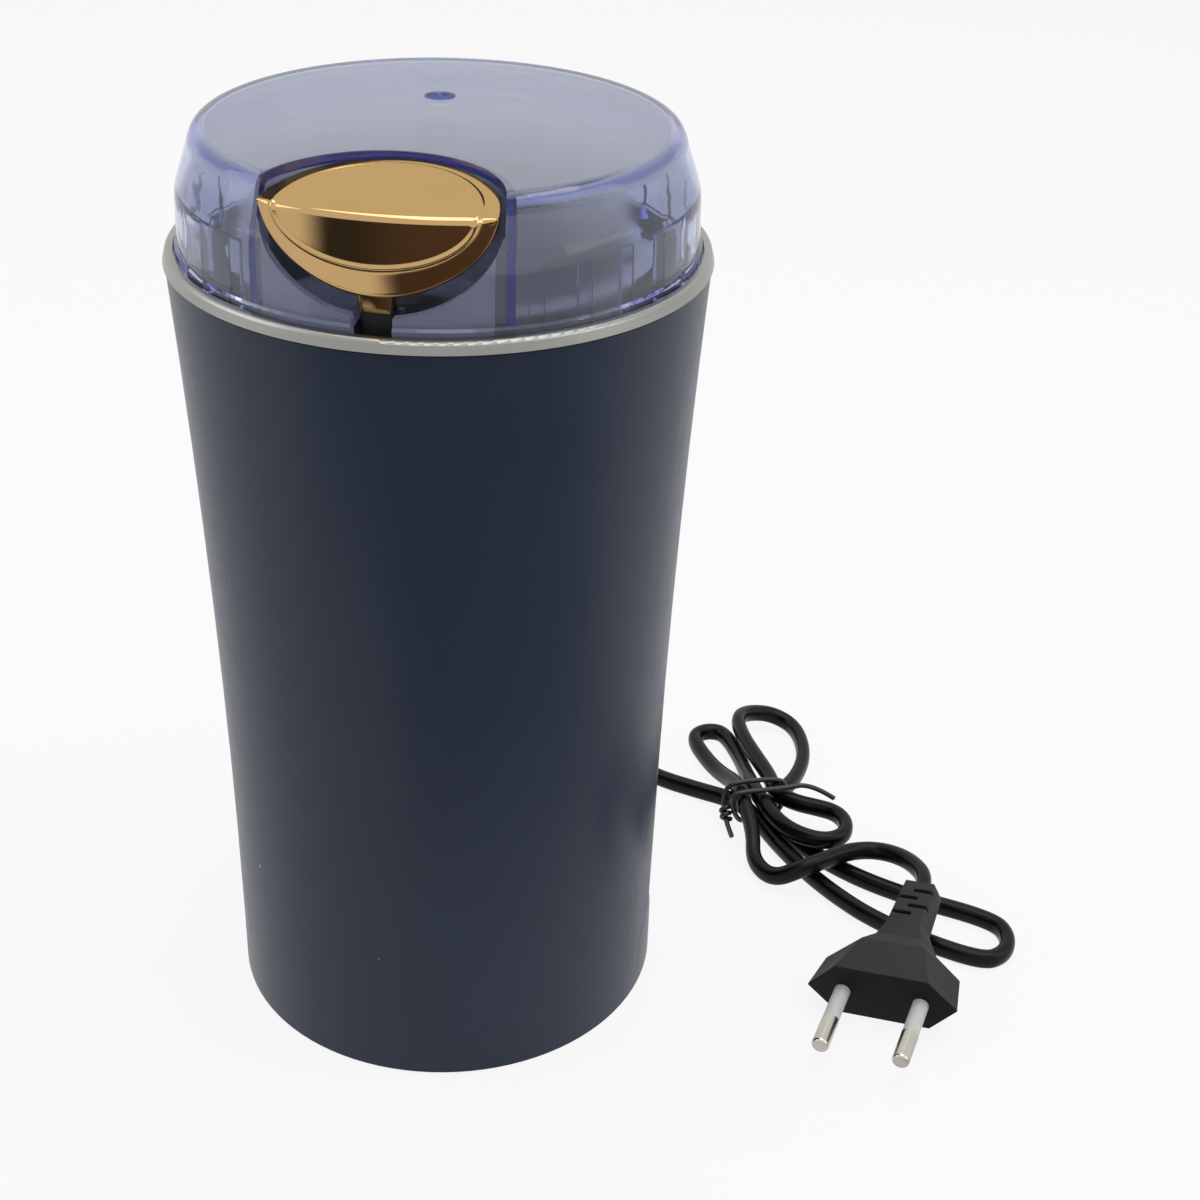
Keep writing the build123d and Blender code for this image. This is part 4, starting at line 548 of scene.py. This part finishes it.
class Finish(Shading):
    """A material with one main shader, whose fixed values are set on its sockets."""

    def __init__(self, name, **fixed):
        self.material = bpy.data.materials.new(name)
        self.material.use_nodes = True
        super().__init__(self.material.node_tree)
        self.shader = self.tree.nodes["Principled BSDF"]
        for socket, value in fixed.items():
            self.put(self.shader.inputs[socket.replace("_", " ")], value)
        self.place = self.node("ShaderNodeTexCoord", out="Object")

    def feed(self, socket, value):
        """Sends a value to the main shader."""
        self.put(self.shader.inputs[socket], value)

    def noise(self, scale, detail=2.0, rough=0.5, stretch=None):
        """Noise from 0 to 1 in the object's own coordinates."""
        place = self.place
        if stretch:
            place = self.node("ShaderNodeMapping", None, {"Vector": place, "Scale": stretch})
        return self.node("ShaderNodeTexNoise", None,
                         {"Vector": place, "Scale": scale, "Detail": detail, "Roughness": rough}, "Fac")

    def blend(self, share, first, second):
        """A colour between two others."""
        return self.node("ShaderNodeMix", {"data_type": "RGBA"}, {"Factor": share, "A": first, "B": second})

    def bump(self, height, distance, strength=1.0):
        """Fine relief on the main shader, as deep as a distance in metres."""
        self.feed("Normal", self.node("ShaderNodeBump", None, {
            "Strength": strength, "Distance": distance, "Height": height}))


def colour(red, green, blue):
    """A colour that covers fully."""
    return (red, green, blue, 1.0)


print("materials ready")

# %% [markdown]
# The stage is a pale floor in a white surround, lit by large soft lamps. The floor shows
# white to the camera, to mirrors and through glass, and still takes a faint shadow. One
# bright plane would do for a plain object, but gold and glass also need something to
# mirror, so the floor and the surround answer to the kind of ray that meets them.

# %% Floor


def flat_sheet(name, size, at):
    """A level sheet of the stage, in metres."""
    shape = bmesh.new()
    bmesh.ops.create_grid(shape, x_segments=1, y_segments=1, size=0.5)
    bmesh.ops.scale(shape, vec=(size[0], size[1], 1.0), verts=shape.verts[:])
    bmesh.ops.translate(shape, vec=at, verts=shape.verts[:])
    mesh = bpy.data.meshes.new(name)
    shape.to_mesh(mesh)
    shape.free()
    sheet = bpy.data.objects.new(name, mesh)
    scene.collection.objects.link(sheet)
    return sheet


def seen_directly(shading, glass_share):
    """1 for rays from the camera or a mirror, less for rays through glass, otherwise 0."""
    rays = [shading.node("ShaderNodeLightPath", None, None, ray)
            for ray in ("Is Camera Ray", "Is Glossy Ray", "Is Transmission Ray")]
    first_two = rays[0].sum("MAXIMUM", rays[0], rays[1])
    return first_two.sum("MAXIMUM", first_two, glass_share * rays[2])


floor_white = 0.88  # share of the floor that shows as plain white
through_glass = 0.4  # and how much of that shows through glass
floor = flat_sheet("floor", (6.0, 6.0), (0.0, 0.0, 0.0))
floor_finish = bpy.data.materials.new("pale_floor")
floor_finish.use_nodes = True
paint = Shading(floor_finish.node_tree)
paint.tree.nodes.remove(paint.tree.nodes["Principled BSDF"])
plain = paint.node("ShaderNodeBsdfDiffuse", None, {"Color": colour(0.9, 0.9, 0.9)})
glow = paint.node("ShaderNodeEmission", None, {"Color": colour(1, 1, 1), "Strength": 1.0})
whiteness = floor_white * seen_directly(paint, through_glass)
shown = paint.node("ShaderNodeMixShader", None, {0: whiteness, 1: plain, 2: glow})
paint.put(paint.tree.nodes["Material Output"].inputs["Surface"], shown)
floor.data.materials.append(floor_finish)
print("floor of", len(paint.tree.nodes), "shader nodes")

# %% Surround
world = bpy.data.worlds.new("surround")
scene.world = world
world.use_nodes = True
air = Shading(world.node_tree)
air.tree.nodes.remove(air.tree.nodes["Background"])
dim = air.node("ShaderNodeBackground", None, {"Color": colour(1, 1, 1), "Strength": 0.22})
white = air.node("ShaderNodeBackground", None, {"Color": colour(1, 1, 1), "Strength": 1.0})
seen = air.node("ShaderNodeMixShader", None, {0: seen_directly(air, through_glass), 1: dim, 2: white})
air.put(air.tree.nodes["World Output"].inputs["Surface"], seen)
print("surround of", len(air.tree.nodes), "shader nodes")

# %% [markdown]
# Polished gold shows what stands in front of it, and a white room alone would leave it
# flat. A dark card lies on the floor before the object, seen only in reflections. Its
# edges are soft, and it is browner to the right, so the button's front gets a dark middle
# that warms towards one side.

# %% Dark card
dark_card = flat_sheet("dark_card", (2.6, 2.6), (0.0, 0.0, 0.002))
card_finish = bpy.data.materials.new("black_card")
card_finish.use_nodes = True
card = Shading(card_finish.node_tree)
black = card.tree.nodes["Principled BSDF"]
black.inputs["Roughness"].default_value = 1.0
card_place = card.node("ShaderNodeTexCoord", out="Object")
card_x, card_y, _ = card.axes(card_place)
card_turn = card_x.sum("ARCTAN2", card_x, -1.0 * card_y)
card_reach = card.node("ShaderNodeVectorMath", {"operation": "LENGTH"}, {0: card_place}, "Value")
to_right = card.fades(card_turn, radians(-25), radians(5))
card.put(black.inputs["Base Color"], card.node("ShaderNodeMix", {"data_type": "RGBA"}, {
    "Factor": to_right, "A": colour(0.006, 0.006, 0.006), "B": colour(0.10, 0.065, 0.05)}))
# the card fades out at its left and right by angle, and near and far by metres
past_left = card.fades(card_turn, radians(-46), radians(-31))
past_right = card.fades(card_turn, radians(55), radians(100))
past_near = card.fades(card_reach + 0.14 * to_right, 0.22, 0.34)
past_far = card.fades(card_reach, 1.1, 1.3)
dark_part = past_left * (1 - past_right) * past_near * (1 - past_far)
bare = card.node("ShaderNodeBsdfTransparent")
card.put(card.tree.nodes["Material Output"].inputs["Surface"], card.node(
    "ShaderNodeMixShader", None, {0: dark_part, 1: bare, 2: Wire(card, black.outputs[0])}))
dark_card.data.materials.append(card_finish)
for ray in ("camera", "diffuse", "shadow", "transmission"):
    setattr(dark_card, "visible_" + ray, False)
print("dark card of", len(card.tree.nodes), "shader nodes")

# %% [markdown]
# The lamps are large squares, as soft boxes are: one above, and a weaker one on each side.
# A large lamp gives soft shadows and long smooth lights on the lacquer. Small lamps would
# show as hard spots in the gold and on the lid.

# %% Lamps
aim = Vector((0, 0, 0.1))
for name, at, size, power in (
    ("top_lamp", (0.1, 0.1, 1.3), 1.1, 8.5),
    ("left_lamp", (-1.1, -0.25, 0.7), 0.8, 3.0),
    ("right_lamp", (1.1, -0.1, 0.7), 0.8, 3.0),
):
    lamp = bpy.data.objects.new(name, bpy.data.lights.new(name, "AREA"))
    lamp.data.shape = "SQUARE"
    lamp.data.size = size
    lamp.data.energy = power
    lamp.location = at
    lamp.rotation_euler = (aim - Vector(at)).to_track_quat("-Z", "Y").to_euler()
    scene.collection.objects.link(lamp)

# %% [markdown]
# Body: sprayed satin lacquer, a very dark blue. Up close such a coat has a faint orange
# peel, small changes of sheen, and a few pale specks of dust. Each is one texture.

# %% Satin lacquer
lacquer = Finish("satin_lacquer", Specular_IOR_Level=0.2)
mottle = lacquer.noise(38.0, 4.0)
lacquer_colour = lacquer.blend(mottle, colour(0.026, 0.038, 0.068), colour(0.033, 0.048, 0.081))
specks = lacquer.node("ShaderNodeTexVoronoi", None, {"Vector": lacquer.place, "Scale": 55.0}, "Distance")
lacquer.feed("Base Color", lacquer.blend(specks < 0.022, lacquer_colour, colour(0.35, 0.38, 0.44)))
lacquer.feed("Roughness", 0.29 + 0.09 * lacquer.noise(160.0, 3.0))
lacquer.bump(lacquer.noise(1500.0, 1.0), 0.02 * MM)
print("lacquer of", len(lacquer.tree.nodes), "shader nodes")

# %% [markdown]
# Ring: turned aluminium with a satin grain that runs round it, so the noise is squeezed
# in height and stays long in the other two directions.

# %% Satin silver
silver = Finish("satin_silver", Metallic=1.0)
turned = silver.noise(90.0, 3.0, 0.6, (1.0, 1.0, 60.0))
silver.feed("Base Color", silver.blend(turned, colour(0.26, 0.26, 0.245), colour(0.36, 0.36, 0.335)))
silver.feed("Roughness", 0.26 + 0.14 * turned)
print("silver of", len(silver.tree.nodes), "shader nodes")

# %% [markdown]
# Lid: clear plastic with a blue tint. The tint is in the plastic itself, so light that
# travels far along a wall comes out deep blue, and light that crosses a wall is only
# tinged. A volume that absorbs red and green does exactly that. The blue that gathers at
# the rim and in the shoulder is helped by painted edge light: blue painted into the surface's colour there.

# %% Places on the lid
clear = Finish("clear_blue", IOR=1.49, Transmission_Weight=1.0)
lid_x, lid_y, lid_z = clear.axes(clear.place)
lid_reach = lid_x.sum("SQRT", lid_x * lid_x + lid_y * lid_y, 0.0)
lid_turn = lid_x.sum("ARCTAN2", lid_x, -1.0 * lid_y)
# heights above the table, in metres, with a pair where one face passes into the next
top_level, ceiling_low, ceiling_high, below_top = 0.2008, 0.1980, 0.1992, 0.1975
rim_low, rim_high = (0.1986, 0.1996), (0.2000, 0.2008)
shoulder_low, shoulder_high = (0.1865, 0.1900), (0.1935, 0.1970)
# distances from the axis
wall_from, wall_inner_face, window_half, rim_from, shoulder_from = 0.0455, 0.0502, 0.0212, 0.0425, 0.0440
from_left = clear.fades(lid_turn, radians(-36), radians(-26))
from_right = clear.fades(lid_turn, radians(50), radians(64))
at_front = from_left * (1 - from_right)
top_face = lid_z > top_level
under_top = (lid_z < ceiling_high) * (lid_z > ceiling_low)
inside_wall = (lid_reach > wall_from) * (lid_reach < wall_inner_face) * (lid_z < ceiling_low) * at_front
front_wall = (lid_z < below_top) * (lid_reach > wall_from) * at_front
chamber = (lid_z < below_top) * (lid_reach < wall_from)
lid_aside = lid_x.sum("ABSOLUTE", lid_x, 0.0)
window = (lid_y < -wall_from) * (lid_aside < window_half) * (lid_z < below_top)
rim_band = clear.fades(lid_z, *rim_low) * (1 - clear.fades(lid_z, *rim_high))
rim_line = rim_band * (lid_reach > rim_from)
shoulder_band = clear.fades(lid_z, *shoulder_low) * (1 - clear.fades(lid_z, *shoulder_high))
shoulder = shoulder_band * (lid_reach > shoulder_from) * (1 - at_front)
print("lid divided by", len(clear.tree.nodes), "shader nodes")

# %% Clear blue plastic
frosting = 0.2 * under_top + 0.3 * inside_wall
clear.feed("Roughness", 0.012 + 0.02 * clear.noise(70.0, 2.0) + frosting)
# painted edge light: deep blue painted into the colour at the rim and at the back of the shoulder
painted_edge_blue = 0.85 * rim_line + 0.6 * shoulder * clear.noise(60.0, 1.0)
clear.feed("Base Color", clear.blend(painted_edge_blue, colour(0.60, 0.63, 0.70), colour(0.16, 0.19, 0.58)))
clear.bump(clear.noise(55.0, 2.0, 0.5, (1.0, 1.0, 2.0)), 0.25 * MM, 0.6)
tint = clear.node("ShaderNodeVolumeAbsorption", None,
                  {"Color": colour(0.357, 0.409, 0.884), "Density": 70.0})
clear.put(clear.tree.nodes["Material Output"].inputs["Volume"], tint)
print("blue tint set")

# %% [markdown]
# A lid that is used is not quite clear. Fine scuffs on its top and its front scatter some
# light, which a thin share of a matt shader gives. The mark in the top, where the plastic
# entered the mould, is thick and so looks solid blue.

# %% Haze and gate mark on the lid


def matt(red, green, blue):
    """A matt layer of one colour."""
    return clear.node("ShaderNodeBsdfDiffuse", None, {"Color": colour(red, green, blue)})


def layered(share, first, second):
    """Two shaders, mixed by the second one's share."""
    return clear.node("ShaderNodeMixShader", None, {0: share, 1: first, 2: second})


haze = layered(window, matt(0.55, 0.60, 0.68), matt(0.60, 0.64, 0.86))
top_scuffs = top_face * (0.2 + 0.1 * clear.noise(30.0, 3.0))
scuffs = top_scuffs + 0.14 * front_wall + 0.16 * chamber + 0.16 * window
scuffed = layered(scuffs, Wire(clear, clear.shader.outputs[0]), haze)
gate_at = Vector((-0.0037, 0.0153))
gate_x, gate_y = lid_x - gate_at.x, lid_y - gate_at.y
gate_reach = lid_x.sum("SQRT", gate_x * gate_x + gate_y * gate_y, 0.0)
gate_floor, gate_inner, gate_outer = 0.1995, 0.0016, 0.0034
gate_mark = (1 - clear.fades(gate_reach, gate_inner, gate_outer)) * (lid_z > gate_floor)
marked = layered(0.85 * gate_mark, scuffed, matt(0.10, 0.13, 0.42))
clear.put(clear.tree.nodes["Material Output"].inputs["Surface"], marked)
print("clear plastic of", len(clear.tree.nodes), "shader nodes")

# %% [markdown]
# Button: plastic with a thin bright layer of metal, tinted gold. It is nearly a mirror,
# with slight waves from moulding.

# %% Mirror gold
gold = Finish("mirror_gold", Metallic=1.0, Specular_Tint=colour(0.835, 0.775, 0.58))
gold_drift = gold.noise(60.0)
gold.feed("Base Color", gold.blend(gold_drift, colour(0.50, 0.32, 0.14), colour(0.56, 0.36, 0.165)))
gold.feed("Roughness", 0.05 + 0.06 * gold.noise(300.0, 3.0))
gold.bump(gold.noise(120.0, 2.0), 0.01 * MM)
print("gold of", len(gold.tree.nodes), "shader nodes")

# %% [markdown]
# The other finishes follow the same pattern: one colour that drifts a little, a
# roughness that drifts with it, and a fine bump. A helper makes them from one row of
# values each, because about forty pieces share these fourteen finishes.

# %% Plain finishes


def grained(name, dark, light, scale, rough, height, **fixed):
    """A finish whose colour and gloss drift between two values, with a fine bump."""
    made = Finish(name, **fixed)
    drift = made.noise(scale, 3.0)
    made.feed("Base Color", made.blend(drift, colour(*dark), colour(*light)))
    made.feed("Roughness", rough[0] + (rough[1] - rough[0]) * drift)
    if height:
        made.bump(made.noise(scale * 6.0, 2.0), height * MM)
    return made


metal = {"Metallic": 1.0}
low_gloss, matt_gloss = ({"Specular_IOR_Level": level} for level in (0.16, 0.12))
# name: dark colour, light colour, scale of the grain, roughness from and to, bump in mm, fixed values
plain_finishes = {
    "moulded_black": ((0.02, 0.02, 0.023), (0.035, 0.035, 0.04), 300.0, (0.45, 0.6), 0.03, {}),
    "matt_rubber": ((0.014, 0.014, 0.014), (0.026, 0.026, 0.026), 250.0, (0.6, 0.8), 0.03, {}),
    "polished_steel": ((0.55, 0.55, 0.55), (0.66, 0.66, 0.66), 120.0, (0.14, 0.26), 0.0, metal),
    "zinc_steel": ((0.42, 0.43, 0.44), (0.56, 0.56, 0.55), 200.0, (0.3, 0.45), 0.01, metal),
    "bronze": ((0.45, 0.30, 0.13), (0.60, 0.42, 0.20), 260.0, (0.3, 0.5), 0.01, metal),
    "carbon": ((0.02, 0.02, 0.02), (0.05, 0.05, 0.05), 500.0, (0.6, 0.8), 0.02, {}),
    "brown_wire": ((0.09, 0.035, 0.014), (0.14, 0.055, 0.022), 150.0, (0.35, 0.5), 0.01, {}),
    "black_wire": ((0.012, 0.012, 0.012), (0.024, 0.024, 0.024), 150.0, (0.35, 0.5), 0.01, {}),
    "blue_wire": ((0.02, 0.07, 0.25), (0.03, 0.10, 0.34), 150.0, (0.35, 0.5), 0.01, {}),
    "cord_sheath": ((0.003, 0.003, 0.0032), (0.006, 0.006, 0.0065), 180.0, (0.24, 0.36), 0.012, low_gloss),
    "tie_cover": ((0.008, 0.008, 0.008), (0.016, 0.016, 0.016), 220.0, (0.3, 0.45), 0.01, {}),
    "plug_moulding": ((0.035, 0.0355, 0.036), (0.049, 0.05, 0.0505), 420.0, (0.5, 0.65), 0.03, matt_gloss),
    "pale_sleeve": ((0.68, 0.69, 0.68), (0.78, 0.79, 0.78), 200.0, (0.35, 0.5), 0.01, {}),
    "nickel": ((0.45, 0.43, 0.38), (0.56, 0.54, 0.47), 150.0, (0.16, 0.3), 0.01, metal),
}
finishes = {name: grained(name, *looks, **fixed) for name, (*looks, fixed) in plain_finishes.items()}
print(len(finishes), "plain finishes")

# %% [markdown]
# Three finishes need one thing more. The plug's face gets painted shade: it is coloured
# darker than its sides, as it looks away from the top lamp. The motor's cores are stacks of
# thin sheets, and its windings are turns of copper wire, so both get bands that follow their height.

# %% Plug face, with painted shade
moulding = finishes["plug_moulding"]
side_colour = Wire(moulding, moulding.shader.inputs["Base Color"].links[0].from_socket)
ahead_by = moulding.node("ShaderNodeVectorMath", {"operation": "DOT_PRODUCT"},
                         {0: moulding.place, 1: pins_way}, "Value")
face_depth = 0.4
# painted shade: the face is coloured darker than the sides, as it looks away from the top lamp
painted_face_shade = ahead_by > (plug_face.dot(pins_way) - face_depth) * MM
moulding.feed("Base Color", moulding.blend(painted_face_shade, side_colour, colour(0.013, 0.013, 0.0135)))
print("plug moulding of", len(moulding.tree.nodes), "shader nodes")

# %% Laminated cores and windings
laminated = Finish("laminated_core", Metallic=1.0, Roughness=0.5)
sheets = laminated.node("ShaderNodeTexWave", {"bands_direction": "Z"},
                        {"Vector": laminated.place, "Scale": 320.0, "Distortion": 0.3}, "Fac")
laminated.feed("Base Color", laminated.blend(sheets, colour(0.14, 0.14, 0.15), colour(0.30, 0.30, 0.31)))
laminated.bump(sheets, 0.1 * MM)
finishes["laminated_core"] = laminated

wound = Finish("wound_copper", Metallic=1.0, Roughness=0.35)
turns = wound.node("ShaderNodeTexWave", {"bands_direction": "Z"},
                   {"Vector": wound.place, "Scale": 260.0, "Distortion": 1.2, "Detail": 1.0}, "Fac")
wound.feed("Base Color", wound.blend(turns, colour(0.22, 0.07, 0.03), colour(0.62, 0.26, 0.11)))
wound.bump(turns, 0.15 * MM)
finishes["wound_copper"] = wound
finishes.update(satin_lacquer=lacquer, satin_silver=silver, clear_blue=clear, mirror_gold=gold)
print(len(finishes), "finishes in all")

# %% [markdown]
# Most pieces of the frame already have the right shape, so they stay and only get their
# finish. The new pieces each ride on the body that carries them and take the place of the
# construction's plain ones.

# %% Dress the frame's own pieces
dressed = {
    "satin_lacquer": "body_shell",
    "satin_silver": "trim_ring",
    "clear_blue": "lid",
    "moulded_black": "base_cover inner_frame switch_pin brush_holders cooling_fan snap_switch",
    "matt_rubber": "rubber_feet strain_relief motor_dampers bowl_gasket shaft_seal",
    "polished_steel": "grinding_bowl blade blade_nut",
    "zinc_steel": "motor_shaft upper_bracket lower_bracket base_screws mount_screws mount_nuts motor_bolts "
                  "motor_nuts switch_screws switch_lever pin_clip pin_spring brush_springs",
    "bronze": "upper_bearing lower_bearing bowl_bush brush_caps switch_terminals",
    "laminated_core": "stator_core armature_core",
    "wound_copper": "field_coils armature_winding commutator",
    "carbon": "carbon_brushes",
    "brown_wire": "live_wire",
    "black_wire": "switched_wire",
    "blue_wire": "neutral_wire",
    "pale_sleeve": "pin_sleeves",
    "nickel": "plug_pins",
}
for finish, names in dressed.items():
    for name in names.split():
        for holder in nodes[name].material_slots:
            holder.material = finishes[finish].material
print(sum(len(names.split()) for names in dressed.values()), "nodes dressed")

# %% Seat the new pieces
for piece, finish, slot, body, *stands_for in (
    (mains_cord, "cord_sheath", "black_cord", "housing", "cord_lead", "cord_hank", "cord_tail"),
    (wire_tie, "tie_cover", "tie_wire", "housing", "cord_tie"),
    (tie_twist, "tie_cover", "tie_wire", "housing"),
    (plug_shell, "plug_moulding", "plug_plastic", "housing", "plug_body"),
    (gold_button, "mirror_gold", "gold_button", "button", "push_button"),
):
    piece.data.materials.clear()
    piece.data.materials.append(finishes[finish].material)
    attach(piece, body)
    if stands_for:
        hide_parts(*stands_for)
    print(piece.name, "rides on", body, "and stands for", len(stands_for), "nodes")

# %% [markdown]
# Last come the settings of the view. Light has to pass many walls of the lid, so the
# number of bounces is raised.

# %% View
scene.view_settings.view_transform = "Standard"
scene.cycles.max_bounces = 24
scene.cycles.glossy_bounces = 16
scene.cycles.transmission_bounces = 24
